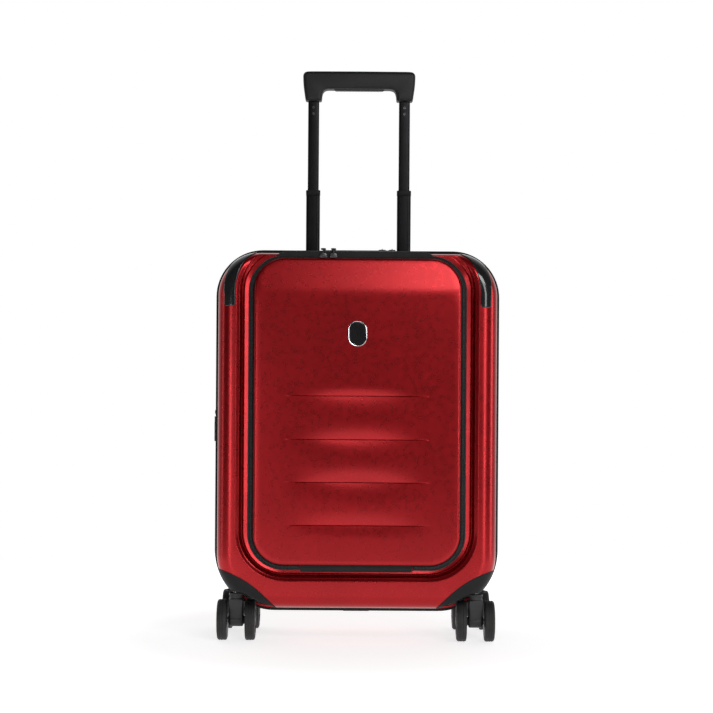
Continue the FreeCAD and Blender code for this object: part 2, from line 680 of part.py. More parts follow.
def release_button():
    """The bar that fingers press upwards, and the bridge that carries the rods."""
    key = box("button_key", "2 * button_half", "button_deep", "4.5", "-button_half",
              "trolley_y - button_deep / 2", "grip_under - 1.5")
    bridge = box("button_bridge", "2 * trolley_x + 6", "5", "4", "-trolley_x - 3", "trolley_y - 2.5",
                 "grip_under + 6")
    stem = box("button_stem", "12", "5", "5", "-6", "trolley_y - 2.5", "grip_under + 2")
    return fuse("button_solid", [key, bridge, stem])


node("trolley_grip", grip())
node("release_button", release_button())
rod = cylinder("rod", "rod_radius", "grip_under + 6 - inner_low - 8", "trolley_x", "trolley_y", "inner_low + 8")
node("release_rods", pair("rods", rod))


def carry_handle(name, along, across, rise):
    """A flat bar with a foot at each end: along, across and rise are its directions."""
    half = {along: "handle_half", across: "handle_wide / 2", rise: "handle_thick / 2"}
    middle = {"x": "0", "y": "handle_y", "z": "case_high - shell_inset - handle_thick / 2 + 3"}
    if rise == "x":
        middle = {"x": "-case_width / 2 + shell_inset + 2", "y": "handle_y", "z": "side_handle_z"}
    size = [f"2 * ({half[a]})" for a in "xyz"]
    bar = box(name + "_bar", *size, *[f"{middle[a]} - ({half[a]})" for a in "xyz"])
    items = [bar]
    for end in (-1, 1):
        foot = {along: "5", across: "handle_wide / 2 - 1", rise: "handle_foot / 2"}
        place = dict(middle)
        place[along] = f"{middle[along]} + {end} * (handle_half - 5)"
        place[rise] = f"{middle[rise]} {'+' if rise == 'x' else '-'} handle_foot / 2"
        items.append(box(f"{name}_foot_{end + 1}", *[f"2 * ({foot[a]})" for a in "xyz"],
                         *[f"{place[a]} - ({foot[a]})" for a in "xyz"]))
    return fuse(name + "_solid", items)


node("top_handle", carry_handle("top_handle", "x", "y", "z"))
node("side_handle", carry_handle("side_handle", "z", "y", "x"))

node("rear_lining", cut("rear_lining_solid",
                        slab("lining_skin", *case_outline("shell_inset + shell_wall + 24"), "seam + 8",
                             "17.5", True),
                        [slab("lining_core", *case_outline("shell_inset + shell_wall + 25.5"), "seam + 7",
                              "17", True)]))


# --- Lock --------------------------------------------------------------------------------------

DIALS = ("-14", "-6", "2")


def lock_body():
    """The lock plate with slots for three dials and the latch."""
    plate = box("lock_plate", "2 * lock_half", "lock_front - lock_back", "lock_high - case_high + 11",
                "-lock_half", "-lock_front", "case_high - 11")
    core = box("lock_core", "2 * lock_half - 34", "30", "lock_high - lock_low", "-lock_half + 17",
               "-lock_back - 36", "lock_low")
    slots = [box(f"dial_slot_{i}", "dial_wide + 0.8", "2 * dial_radius + 0.8", "30",
                 f"{x} - dial_wide / 2 - 0.4", "dial_y - dial_radius - 0.4",
                 "dial_z - dial_radius - 0.4") for i, x in enumerate(DIALS)]
    latch = box("latch_slot", "17", "9", "10", "11", "dial_y - 4.5", "lock_high - 3")
    arbor = cylinder("dial_arbor", "arbor_radius", "28", "-20", "dial_y", "dial_z", "x")
    block = cut("lock_block", fuse("lock_blank", [plate, core]), [fuse("dial_slots", slots), latch])
    return fuse("lock_solid", [block, arbor])


def lock_dial(name, x):
    """A number wheel that turns on the lock's arbor."""
    wheel = cylinder(name + "_disc", "dial_radius", "dial_wide", f"{x} - dial_wide / 2", "dial_y",
                     "dial_z", "x")
    hole = cylinder(name + "_hole", "arbor_radius + 0.05", "dial_wide + 2", f"{x} - dial_wide / 2 - 1",
                    "dial_y", "dial_z", "x")
    return cut(name + "_solid", wheel, [hole])


node("lock_body", lock_body())
for number, x in enumerate(DIALS, start=1):
    node(f"lock_dial_{number}", lock_dial(f"dial_{number}", x))
node("lock_latch", box("latch", "9", "8", "3.4", "18", "dial_y - 4", "lock_high - 2.6"))


# --- Zipper sliders and pullers ------------------------------------------------------------------

def puller(name, x, front, length, pin_y):
    """A flat tab that lies on the lock plate along Y, with its pin at pin_y."""
    low = "lock_high + 0.3"
    tab = upright(name + "_tab", f"{x} - 3.5", f"{x} + 3.5", front, f"{front} + {length}", "1.2", low, "2")
    pin = cylinder(name + "_pin", "1.3", "7", f"{x} - 3.5", pin_y, f"{low} + 1.3", "x")
    return node(name, fuse(name + "_solid", [tab, pin]))


for side, x in (("left", "-48"), ("right", "-34")):
    name = f"panel_slider_{side}"
    block = box(name + "_block", "10", "4", "8", f"{x} - 5", "slider_y - 2", "panel_high + 4.4")
    post = box(name + "_post", "5", "3.4", "2.5", f"{x} - 2.5", "slider_y - 2", "panel_high + 12.4")
    node(name, fuse(name + "_solid", [block, post]))
    puller(f"panel_puller_{side}", x, "slider_y - 1.7", "26", "slider_y - 0.4")
for side, x in (("left", "34"), ("right", "48")):
    node(f"main_slider_{side}", box(f"main_slider_{side}_block", "10", "8", "2.6", f"{x} - 5", "-seam - 0.2",
                                    "case_high + 0.3"))
    puller(f"main_puller_{side}", x, "-seam - 18.5", "18", "-seam - 1.8")
node("expansion_slider", box("expansion_slider_block", "3", "8", "10", "-case_width / 2 - 3.3",
                             "seam - 8", "311"))
node("expansion_puller", slab("expansion_tab", "-case_width / 2 - 3.9", "-case_width / 2 - 1.9",
                              "275", "310.7", ["0.9"] * 4, "seam - 0.5", "7"))


# --- Casters -------------------------------------------------------------------------------------

def fork(name, x, y):
    """The block between the two wheels, its neck and swivel pin, and the steel axle through it."""
    axle_y = f"{y} + caster_trail"
    block = box(name + "_block", "fork_width", "neck_radius + caster_trail + fork_nose",
                "fork_high - wheel_radius", f"{x} - fork_width / 2", f"{y} - neck_radius", "wheel_radius")
    nose = cylinder(name + "_nose", "fork_nose", "fork_width", f"{x} - fork_width / 2", axle_y,
                    "wheel_radius", "x")
    neck = cylinder(name + "_neck", "neck_radius", "neck_high - fork_high + 1", x, y, "fork_high - 1")
    pin = cylinder(name + "_pin", "swivel_radius", "swivel_high - neck_high + 1", x, y, "neck_high - 1")
    hole = cylinder(name + "_hole", "axle_radius", "fork_width + 2", f"{x} - fork_width / 2 - 1", axle_y,
                    "wheel_radius", "x")
    body = cut(name + "_solid", fuse(name + "_fused", [block, nose, neck, pin]), [hole])
    reach = "fork_width / 2 + wheel_gap + wheel_width - 2"
    axle = cylinder(name + "_axle", "axle_radius", f"2 * ({reach})", f"{x} - ({reach})", axle_y,
                    "wheel_radius", "x")
    return group(name + "_with_axle", [body, axle])


def turned(name, x, axle_y, side, profile):
    """A solid of revolution about the axle: profile is a list of (distance from the fork, radius)."""
    body = new_body(name)
    sketch = new_sketch(body, "front", f"-({axle_y})")
    polygon(sketch, [(f"{x} + {side} * ({w})", f"wheel_radius + {r}") for w, r in profile])
    line = Part.LineSegment(Vector(value(x) - 1, value("wheel_radius"), 0),
                            Vector(value(x) + 1, value("wheel_radius"), 0))
    index = sketch.addGeometry(line, True)
    hold_point(sketch, index, 1, f"{x} - 1", "wheel_radius")
    hold_point(sketch, index, 2, f"{x} + 1", "wheel_radius")
    feature = body.newObject("PartDesign::Revolution", name + "_turn")
    feature.Profile = sketch
    feature.ReferenceAxis = (sketch, ["Axis0"])
    feature.Angle = 360
    doc.recompute()
    return body


def wheel(name, x, y, side):
    """A hub with a tyre around it, on one side of the fork."""
    axle_y = f"{y} + caster_trail"
    near = "fork_width / 2 + wheel_gap"
    far = f"{near} + wheel_width"
    seat = "wheel_radius - tyre_depth"
    hub = turned(name + "_hub", x, axle_y, side, [
        (near, "axle_radius + axle_play"), (near, seat), (f"{far} - 1", seat), (far, "wheel_radius / 2"),
        (far, "axle_radius + axle_play")])
    tyre = turned(name + "_tyre", x, axle_y, side, [
        (near, seat), (near, "wheel_radius - 1.5"), (f"{near} + 1.5", "wheel_radius"),
        (f"{far} - 4", "wheel_radius"), (f"{far} - 1.5", "wheel_radius - 2"), (f"{far} - 1", seat)])
    return group(name, [hub, tyre])


for end, y in (("front", "-caster_y"), ("rear", "caster_y")):
    for hand, x in (("left", "-caster_x"), ("right", "caster_x")):
        corner = f"{end}_{hand}"
        node(f"caster_fork_{corner}", fork(f"fork_{corner}", x, y))
        for part, side in (("a", "-1"), ("b", "1")):
            node(f"wheel_{corner}_{part}", wheel(f"wheel_{corner}_{part}_solids", x, y, side))


# --- Checks and export -----------------------------------------------------------------------------

doc.recompute()
for item in doc.Objects:
    if "Invalid" in item.State or "Error" in item.State:
        raise RuntimeError(f"{item.Name} failed: {item.State}")
os.makedirs("parts", exist_ok=True)
for item in nodes:
    shape = item.Shape
    if shape.isNull() or not shape.isValid() or not shape.Solids:
        raise RuntimeError(f"{item.Label} has no valid solid")
    shape.exportStep(f"parts/{item.Label}.step")
print(f"{len(nodes)} nodes written")
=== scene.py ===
"""Looks of a hard-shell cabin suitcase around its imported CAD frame.

Sizes are in millimetres and become metres when a piece is made. Frame: +X to the right of somebody
facing the case, +Y towards its back, +Z up. An outline is a list of (x, z) points, anticlockwise as
seen from the front.
"""
import json
from math import acos, copysign, cos, dist, hypot, pi, radians, sin, sqrt, tan, tau

import bmesh
import bpy
from mathutils import Matrix, Vector
from mathutils.geometry import delaunay_2d_cdt


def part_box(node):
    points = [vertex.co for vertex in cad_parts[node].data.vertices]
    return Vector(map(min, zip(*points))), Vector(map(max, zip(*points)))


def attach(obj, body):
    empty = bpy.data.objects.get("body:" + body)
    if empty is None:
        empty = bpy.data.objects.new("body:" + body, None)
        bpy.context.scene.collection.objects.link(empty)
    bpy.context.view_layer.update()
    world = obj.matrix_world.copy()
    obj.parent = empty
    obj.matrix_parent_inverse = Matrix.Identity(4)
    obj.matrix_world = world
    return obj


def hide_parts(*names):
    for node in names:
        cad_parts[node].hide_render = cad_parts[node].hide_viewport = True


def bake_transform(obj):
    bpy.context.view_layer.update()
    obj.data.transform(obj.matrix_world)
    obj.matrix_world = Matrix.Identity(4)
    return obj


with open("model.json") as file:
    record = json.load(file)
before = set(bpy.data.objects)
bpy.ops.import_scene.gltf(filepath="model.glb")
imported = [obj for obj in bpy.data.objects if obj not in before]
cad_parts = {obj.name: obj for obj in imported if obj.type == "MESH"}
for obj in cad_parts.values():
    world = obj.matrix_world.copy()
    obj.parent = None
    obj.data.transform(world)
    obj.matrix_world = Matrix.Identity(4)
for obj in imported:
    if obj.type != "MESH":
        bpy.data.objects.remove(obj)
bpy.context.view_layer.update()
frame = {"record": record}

MM = 0.001
WELD = 2e-6
TINY = 1e-6
CASE_ARC = 24
BODY_OF = {node: body for body, nodes in frame["record"]["behaviour"]["bodies"].items() for node in nodes}


def mm_box(node):
    """Lowest and highest corner of a CAD node, in millimetres."""
    return tuple(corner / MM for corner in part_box(node))


# Sizes of the case: read from the frame, or the driving sizes of the CAD part
BAND_LOW, BAND_HIGH = mm_box("main_zipper_rear")
SHELL_LOW, SHELL_HIGH = mm_box("front_shell")
PANEL_LOW, PANEL_HIGH = mm_box("front_panel")
HALF, LOW, HIGH = BAND_HIGH.x, BAND_LOW.z, BAND_HIGH.z
R_LOW, R_HIGH = 85, 66
RIM, FACE = -SHELL_HIGH.y, -SHELL_LOW.y
STEP = HALF - SHELL_HIGH.x
WALL = 2.4
DRAFT = radians(3)
EDGE = 21
EDGE_DEPTH = FACE - EDGE
EDGE_INSET = STEP + (EDGE_DEPTH - RIM) * tan(DRAFT) + EDGE / cos(DRAFT)
RECESS = {"half": 162, "low": 91.5, "high": 551, "r_low": 64, "r_high": 64}
RECESS_FLOOR = 86
OPENING = {"half": 148.2, "low": 106.5, "high": 533.5, "r_low": 46, "r_high": 46}
PANEL = {"half": PANEL_HIGH.x - 0.6, "low": PANEL_LOW.z - 1.8, "high": PANEL_HIGH.z, "r_low": 42, "r_high": 42}
PANEL_SKIN = {**PANEL, "high": PANEL["high"] + 4}
PANEL_FACE, PANEL_BACK, PANEL_BEND, PANEL_LEAN = -PANEL_LOW.y, -PANEL_HIGH.y, 488, 6
TAPE_FACE = RECESS_FLOOR + 2
HINGE_HALF = mm_box("panel_hinge_strip")[1].x
CREASES = ((165, 1.5, 17, 26), (224, 3.0, 27, 29), (283, 3.1, 27, 29), (343, 2.6, 27, 19))
RIB_HALF = 106
TROLLEY_X, TROLLEY_Y = 66, 62


# --- Outlines

def rounded(left, right, low, high, r_low, r_high, arc=6, side=1):
    """A rectangle with round corners, from the start of its lower right corner."""
    centres = [(right - r_low, low + r_low, r_low), (right - r_high, high - r_high, r_high),
               (left + r_high, high - r_high, r_high), (left + r_low, low + r_low, r_low)]
    points = []
    for k, (a, b, r) in enumerate(centres):
        for i in range(arc + 1):
            turn = pi / 2 * (k - 1 + i / arc)
            points.append((a + r * cos(turn), b + r * sin(turn)))
        a1, b1, r1 = centres[(k + 1) % 4]
        turn = pi / 2 * k
        end = (a1 + r1 * cos(turn), b1 + r1 * sin(turn))
        start = points[-1]
        points += [(start[0] + (end[0] - start[0]) * i / side, start[1] + (end[1] - start[1]) * i / side)
                   for i in range(1, side)]
    return points


def grown(shape, more=0.0, arc=18, side=14):
    """The outline of a named shape, moved outwards by more."""
    return rounded(-shape["half"] - more, shape["half"] + more, shape["low"] - more, shape["high"] + more,
                   shape["r_low"] + more, shape["r_high"] + more, arc, side)


CASE = {"half": HALF, "low": LOW, "high": HIGH, "r_low": R_LOW, "r_high": R_HIGH}


def inside(shape, x, z):
    """How far a point lies inside a shape's outline; below zero outside."""
    upper = z > (shape["low"] + shape["high"]) / 2
    r = shape["r_high"] if upper else shape["r_low"]
    across = abs(x) - (shape["half"] - r)
    up = z - (shape["high"] - r) if upper else shape["low"] + r - z
    if across > 0 and up > 0:
        return r - hypot(across, up)
    return r - max(across, up)


def shrunk(points, distance):
    """A closed anticlockwise outline moved inwards."""
    result = []
    for i, (a, b) in enumerate(points):
        a0, b0 = points[i - 1]
        a1, b1 = points[(i + 1) % len(points)]
        length = hypot(a1 - a0, b1 - b0) or 1
        result.append((a - (b1 - b0) / length * distance, b + (a1 - a0) / length * distance))
    return result


def soft_corners(points, radius, steps=5):
    """An open or closed list of corners with each inner corner cut round."""
    result = []
    for i, (a, b) in enumerate(points):
        before, after = points[i - 1], points[(i + 1) % len(points)]
        reach = min(radius, *(dist((a, b), p) * 0.45 for p in (before, after)))
        ends = [(a + (p[0] - a) * reach / dist((a, b), p), b + (p[1] - b) * reach / dist((a, b), p))
                for p in (before, after)]
        for k in range(steps + 1):
            t = k / steps
            result.append(tuple((1 - t) ** 2 * ends[0][j] + 2 * t * (1 - t) * (a, b)[j] + t * t * ends[1][j]
                                for j in (0, 1)))
    return result


def inset_corners(corners, radii, inset, steps=6):
    """The outline of a polygon moved inwards by inset, its corners cut round."""
    moved = []
    for i, (a, b) in enumerate(corners):
        before, after = Vector(corners[i - 1]), Vector(corners[(i + 1) % len(corners)])
        one, two = (Vector((a, b)) - before).normalized(), (after - Vector((a, b))).normalized()
        inner = [Vector((-d.y, d.x)) for d in (one, two)]
        middle = (inner[0] + inner[1]).normalized()
        moved.append((Vector((a, b)) + middle * inset / middle.dot(inner[0]), one.cross(two) > 0))
    result = []
    for i, (point, convex) in enumerate(moved):
        radius = max(radii[i] - inset, 0.5) if convex else radii[i] + inset
        neighbours = moved[i - 1][0], moved[(i + 1) % len(moved)][0]
        reach = [(p - point).normalized() * min(radius, (p - point).length * 0.48) for p in neighbours]
        for k in range(steps + 1):
            t = k / steps
            place = point + reach[0] * (1 - t) ** 2 + reach[1] * t * t
            result.append((place.x, place.y))
    return result


# --- Forms: the points and faces of a piece

def soft_levels(low, high, edge, steps):
    """Inset and level of each ring that rounds off a slab's two edges."""
    turns = [pi / 2 * k / steps for k in range(steps + 1)]
    levels = [(edge * (1 - sin(t)), low + edge * (1 - cos(t))) for t in turns]
    return levels + [(inset, low + high - level) for inset, level in reversed(levels)]


PLACES = {"x": lambda a, b, c: (c, a, b), "y": lambda a, b, c: (a, c, b), "z": lambda a, b, c: (a, b, c)}


class Form:
    """Points and faces in millimetres."""

    def __init__(self):
        self.points, self.faces = [], []

    def add(self, points, faces):
        start = len(self.points)
        self.points += [tuple(p) for p in points]
        self.faces += [tuple(start + i for i in face) for face in faces]
        return self

    def loft(self, rings, ends="cap", around=True):
        """Skins rings of equal length: ends may be capped, joined to each other or left open."""
        n, count = len(rings[0]), len(rings)
        faces = []
        for k in range(count if ends == "join" else count - 1):
            near, far = k * n, (k + 1) % count * n
            faces += [(near + i, near + (i + 1) % n, far + (i + 1) % n, far + i)
                      for i in range(n if around else n - 1)]
        if ends == "cap":
            faces += [tuple(range(n))[::-1], tuple(range((count - 1) * n, count * n))]
        return self.add([p for ring in rings for p in ring], faces)

    def stacked(self, rows, ends=None, arc=18):
        """Skins outlines of named shapes at depths: rows are (shape, how far outwards, y)."""
        return self.loft([[(x, y, z) for x, z in grown(shape, more, arc)] for shape, more, y in rows], ends)

    def pebble(self, outline, low, high, edge, axis, steps=3):
        """An outline given a thickness along an axis, with its edges rounded."""
        return self.loft([[PLACES[axis](a, b, level) for a, b in shrunk(outline, inset)]
                          for inset, level in soft_levels(low, high, edge, steps)])

    def moulded(self, corners, radii, low, high, edge, axis, steps=6):
        """Like a pebble, from sharp corners with a radius each: convex corners tighten as edges round off."""
        return self.loft([[PLACES[axis](a, b, level) for a, b in inset_corners(corners, radii, inset)]
                          for inset, level in soft_levels(low, high, edge, steps)])

    def slab(self, low, high, corner, edge, axis, steps=3):
        """A box between two corner points, with round corners seen along axis, and rounded edges."""
        a, b, c = {"x": (1, 2, 0), "y": (0, 2, 1), "z": (0, 1, 2)}[axis]
        outline = rounded(low[a], high[a], low[b], high[b], corner, corner, 5)
        return self.pebble(outline, low[c], high[c], edge, axis, steps)

    def turned(self, profile, centre, axis, steps=32, ends="cap"):
        """A solid of revolution: profile is (distance along the axis, radius)."""
        place = PLACES[axis]
        rings = []
        for along, radius in profile:
            ring = [place(radius * cos(tau * i / steps), radius * sin(tau * i / steps), along)
                    for i in range(steps)]
            rings.append([tuple(p + q for p, q in zip(point, centre)) for point in ring])
        return self.loft(rings, ends)

    def rod(self, route, radius, sides=8):
        """A round bar along a list of points."""
        rings = []
        for i, point in enumerate(route):
            ahead = (Vector(route[min(i + 1, len(route) - 1)]) - Vector(route[max(i - 1, 0)])).normalized()
            one = ahead.orthogonal().normalized() if not rings else (one - ahead * one.dot(ahead)).normalized()
            two = ahead.cross(one)
            rings.append([tuple(Vector(point) + (one * cos(tau * k / sides)
                                                 + two * sin(tau * k / sides)) * radius)
                          for k in range(sides)])
        return self.loft(rings)

    def changed(self, matrix):
        """A copy of the form, moved, turned or mirrored."""
        return Form().add([tuple(matrix @ Vector(p)) for p in self.points], self.faces)

    def join(self, *others):
        for other in others:
            self.add(other.points, other.faces)
        return self

    def mirrored(self, axis="x"):
        """The form with its mirror image."""
        return self.join(self.changed(mirror(axis)))

    def made(self, name):
        """The mesh object, its faces turned outwards."""
        mesh = bpy.data.meshes.new(name)
        mesh.from_pydata([tuple(c * MM for c in p) for p in self.points], [], self.faces)
        form = bmesh.new()
        form.from_mesh(mesh)
        bmesh.ops.remove_doubles(form, verts=form.verts, dist=WELD)
        bmesh.ops.dissolve_degenerate(form, edges=form.edges, dist=WELD)
        bmesh.ops.recalc_face_normals(form, faces=form.faces)
        form.to_mesh(mesh)
        form.free()
        return placed(name, mesh)


def mirror(axis):
    return Matrix.Diagonal((*[-1 if axis == a else 1 for a in "xyz"], 1))


def placed(name, data):
    """A new object in the scene."""
    item = bpy.data.objects.new(name, data)
    bpy.context.scene.collection.objects.link(item)
    return item


def evaluated(item):
    """The mesh of an object with its modifiers applied."""
    bpy.context.view_layer.update()
    return bpy.data.meshes.new_from_object(item.evaluated_get(bpy.context.evaluated_depsgraph_get()))


def carved(item, *steps):
    """The object after boolean steps, each an operation and a Form."""
    cutters = []
    for operation, form in steps:
        modifier = item.modifiers.new(operation, "BOOLEAN")
        modifier.object = form.made("cutter")
        modifier.operation, modifier.solver = operation, "MANIFOLD"
        cutters.append(modifier.object)
    result = evaluated(item)
    item.modifiers.clear()
    item.data = result
    for cutter in cutters:
        bpy.data.objects.remove(cutter)
    if len(result.polygons) == 0:
        raise RuntimeError(f"{item.name}: nothing is left after its boolean steps")
    return item


def dress(item, slot, look=None, sharp=38):
    """Gives an object its material and smooth shading."""
    mesh = item.data
    mesh.materials.clear()
    mesh.materials.append(LOOKS[look or slot])
    count = len(mesh.polygons)
    mesh.polygons.foreach_set("material_index", [0] * count)
    mesh.polygons.foreach_set("use_smooth", [True] * count)
    mesh.set_sharp_from_angle(angle=radians(sharp))


def show(item, slot, node, *replaced, look=None, sharp=38):
    """Dresses an object, puts it on a node's body and hides the CAD nodes that it stands for."""
    dress(item, slot, look, sharp)
    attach(item, BODY_OF[node])
    if replaced:
        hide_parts(*replaced)


# --- Materials

class Nodes:
    """Makes nodes in a tree."""

    def __init__(self, tree):
        self.tree = tree

    def add(self, kind, inputs=None, **settings):
        node = self.tree.nodes.new("ShaderNode" + kind)
        for key, setting in settings.items():
            setattr(node, key, setting)
        for key, source in (inputs or {}).items():
            if isinstance(source, bpy.types.NodeSocket):
                self.tree.links.new(source, node.inputs[key])
            else:
                node.inputs[key].default_value = source
        return node

    def sums(self, operation, a, b):
        return self.add("Math", {0: a, 1: b}, operation=operation).outputs[0]

    def ranged(self, source, low, high, start=0.0, end=1.0):
        return self.add("MapRange", {"Value": source, "From Min": start, "From Max": end, "To Min": low,
                                     "To Max": high}).outputs["Result"]


class Look(Nodes):
    """A node material: the shader's own sockets hold what is uniform."""

    def __init__(self, name, **uniform):
        self.material = bpy.data.materials.new(name)
        self.material.use_nodes = True
        super().__init__(self.material.node_tree)
        self.shader = self.tree.nodes["Principled BSDF"]
        for socket, amount in uniform.items():
            self.shader.inputs[socket.replace("_", " ")].default_value = amount
        self.place = self.add("TexCoord").outputs["Object"]

    def stretched(self, scale):
        """The place, scaled along X, Y and Z."""
        return self.add("Mapping", {"Vector": self.place, "Scale": scale}).outputs["Vector"]

    def noise(self, size, detail=3.0, place=None):
        """Noise whose features are about size millimetres wide."""
        return self.add("TexNoise", {"Vector": place or self.place, "Scale": 1 / (size * MM),
                                     "Detail": detail}).outputs["Fac"]

    def wave(self, direction, period):
        """Ridges across one axis, period millimetres apart."""
        return self.add("TexWave", {"Vector": self.place, "Scale": tau / 20 / (period * MM)},
                        wave_type="BANDS", bands_direction=direction, wave_profile="SIN").outputs["Fac"]

    def colour(self, source, *stops):
        """Colours the shader by a value: stops are (position, colour)."""
        ramp = self.add("ValToRGB", {"Fac": source})
        elements = ramp.color_ramp.elements
        while len(elements) < len(stops):
            elements.new(0.5)
        for element, (position, rgb) in zip(elements, stops):
            element.position = position
            element.color = (*rgb, 1)
        self.tree.links.new(ramp.outputs["Color"], self.shader.inputs["Base Color"])
        return self

    def rough(self, source, low, high):
        self.tree.links.new(self.ranged(source, low, high, 0.3, 0.7), self.shader.inputs["Roughness"])
        return self

    def bump(self, source, height):
        """Relief of the given height in millimetres."""
        bump = self.add("Bump", {"Height": source, "Distance": height * MM, "Strength": 1.0})
        self.tree.links.new(bump.outputs["Normal"], self.shader.inputs["Normal"])
        return self

    def weave(self, period, directions=("X", "Z")):
        """Threads that cross: where one dips the other rises."""
        first, second = (self.wave(d, period) for d in directions)
        return self.sums("MAXIMUM", first, self.sums("MULTIPLY", second, 0.85))


def tint(rgb, factor):
    return tuple(c * factor for c in rgb)


def shell_look():
    """Satin metallic lacquer over polycarbonate with a very fine grain."""
    red = (0.36, 0.006, 0.0095)
    look = Look("shell_red_lacquer", Metallic=0.82, Coat_Weight=0.3, Coat_Roughness=0.24,
                Specular_IOR_Level=0.3)
    look.colour(look.noise(90, 2), (0.3, tint(red, 0.93)), (0.7, tint(red, 1.07)))
    look.rough(look.noise(7, 4), 0.26, 0.32)
    grain = look.sums("ADD", look.noise(0.55, 2), look.sums("MULTIPLY", look.noise(2.6, 3), 0.6))
    look.bump(grain, 0.0035)
    return look.material


def plastic_look(name, rgb, rough, grain, height, coat=0.0, shine=0.32):
    """Moulded plastic with a spark-eroded grain."""
    look = Look(name, Coat_Weight=coat, Coat_Roughness=0.06, Specular_IOR_Level=shine)
    look.colour(look.noise(24, 4), (0.3, tint(rgb, 0.85)), (0.7, tint(rgb, 1.18)))
    look.rough(look.noise(4, 4), rough - 0.05, rough + 0.05)
    look.bump(look.noise(grain, 2), height)
    return look.material


def metal_look(name, rgb, rough, stretch, height):
    """Brushed or tumbled metal: stretch makes the scratches long along an axis."""
    look = Look(name, Metallic=1.0)
    lines = look.noise(1.0, 3, look.stretched(stretch))
    look.colour(look.noise(16, 3), (0.3, tint(rgb, 0.92)), (0.7, tint(rgb, 1.05)))
    look.rough(lines, rough - 0.06, rough + 0.06)
    look.bump(lines, height)
    return look.material


def cloth_look(name, rgb, period, height, directions=("X", "Z"), rough=0.85):
    """Woven cloth: crossing threads, a little uneven in colour."""
    look = Look(name, Sheen_Weight=0.25, Sheen_Roughness=0.5, Specular_IOR_Level=0.25)
    threads = look.weave(period, directions)
    mixed = look.sums("MULTIPLY", threads, look.ranged(look.noise(9, 3), 0.8, 1.15, 0.3, 0.7))
    look.colour(mixed, (0.35, tint(rgb, 0.55)), (0.95, tint(rgb, 1.25)))
    look.rough(look.noise(3, 2), rough - 0.06, rough + 0.04)
    look.bump(threads, height)
    return look.material


def rubber_look(name, rgb, rough):
    """Matt elastomer with fine pores and a little dust."""
    look = Look(name, Specular_IOR_Level=0.25)
    look.colour(look.noise(14, 5), (0.35, rgb), (0.75, tint(rgb, 1.6)))
    look.rough(look.noise(2.5, 4), rough - 0.06, rough + 0.06)
    look.bump(look.noise(0.8, 3), 0.03)
    return look.material


LOOKS = {
    "shell_red": shell_look(),
    "black_gloss": plastic_look("gloss_black_plastic", (0.012, 0.012, 0.013), 0.14, 1.8, 0.006, 0.6),
    "dark_plastic": plastic_look("grained_black_plastic", (0.007, 0.007, 0.0075), 0.5, 0.7, 0.03, shine=0.2),
    "grip_black": plastic_look("soft_touch_black", (0.010, 0.010, 0.011), 0.5, 0.5, 0.02),
    "lock_grey": plastic_look("satin_grey_plastic", (0.075, 0.078, 0.082), 0.34, 0.8, 0.012),
    "tube_aluminium": metal_look("black_anodised_aluminium", (0.016, 0.016, 0.017), 0.36, (2, 2, 0.03), 0.008),
    "steel": metal_look("turned_steel", (0.55, 0.55, 0.56), 0.28, (0.1, 2, 2), 0.006),
    "slider_metal": metal_look("gunmetal_cast_zinc", (0.10, 0.10, 0.105), 0.3, (1, 1, 1), 0.02),
    "black_fabric": cloth_look("woven_black_tape", (0.013, 0.013, 0.0135), 1.1, 0.12, ("DIAGONAL", "Y"), 0.78),
    "zip_coil": plastic_look("nylon_coil", (0.05, 0.05, 0.052), 0.3, 0.5, 0.01),
    "lining_grey": cloth_look("grey_twill_lining", (0.16, 0.165, 0.175), 1.4, 0.12),
    "tyre_grey": rubber_look("charcoal_elastomer", (0.019, 0.0187, 0.0184), 0.6),
    "hub_grey": plastic_look("hub_plastic", (0.026, 0.026, 0.028), 0.42, 0.8, 0.02),
    "band_black": rubber_look("band_elastomer", (0.013, 0.013, 0.014), 0.5),
    "bright_rim": metal_look("bright_trim", (0.78, 0.78, 0.8), 0.16, (1, 1, 1), 0.004),
    "dial_white": plastic_look("printed_white", (0.7, 0.7, 0.68), 0.5, 0.5, 0.005),
}


# --- Height fields: shells and panel

def meshed(loops, spots, keep, height):
    """A sheet that keeps closed lines and loose spots, raised to height(x, z) along -Y."""
    places, edges = [], []
    for loop in loops:
        kept = [i for i, p in enumerate(loop) if keep(*p)]
        numbers = {i: len(places) + count for count, i in enumerate(kept)}
        places += [Vector(loop[i]) for i in kept]
        edges += [(numbers[i], numbers[(i + 1) % len(loop)]) for i in kept if (i + 1) % len(loop) in numbers]
    places += [Vector(p) for p in spots if keep(*p)]
    flat, _, faces, *_ = delaunay_2d_cdt(places, edges, [], 0, 1e-4)
    middles = [sum((flat[i] for i in face), Vector((0, 0))) / len(face) for face in faces]
    return Form().add([(p.x, -height(p.x, p.y), p.y) for p in flat],
                      [face for face, middle in zip(faces, middles) if keep(middle.x, middle.y)])


def edge_depth(inset, skin):
    """Depth of a shell's rounded edge and face at an inset from the band; skin is how deep in the wall."""
    radius = EDGE - skin
    across = max(EDGE_INSET - inset, 0)
    return EDGE_DEPTH + sqrt(max(radius * radius - across * across, 0))


def edge_insets(skin, angles):
    """Insets of the lines on the rounded edge at these angles from the side."""
    return [EDGE_INSET - (EDGE - skin) * cos(radians(a)) for a in angles]


def side_insets(skin):
    """Inset and depth at a shell's rim and where its rounded edge starts."""
    start = EDGE_INSET - (EDGE - skin) * cos(DRAFT)
    depth = EDGE_DEPTH + (EDGE - skin) * sin(DRAFT)
    return [(STEP + skin, RIM), (start, depth)]


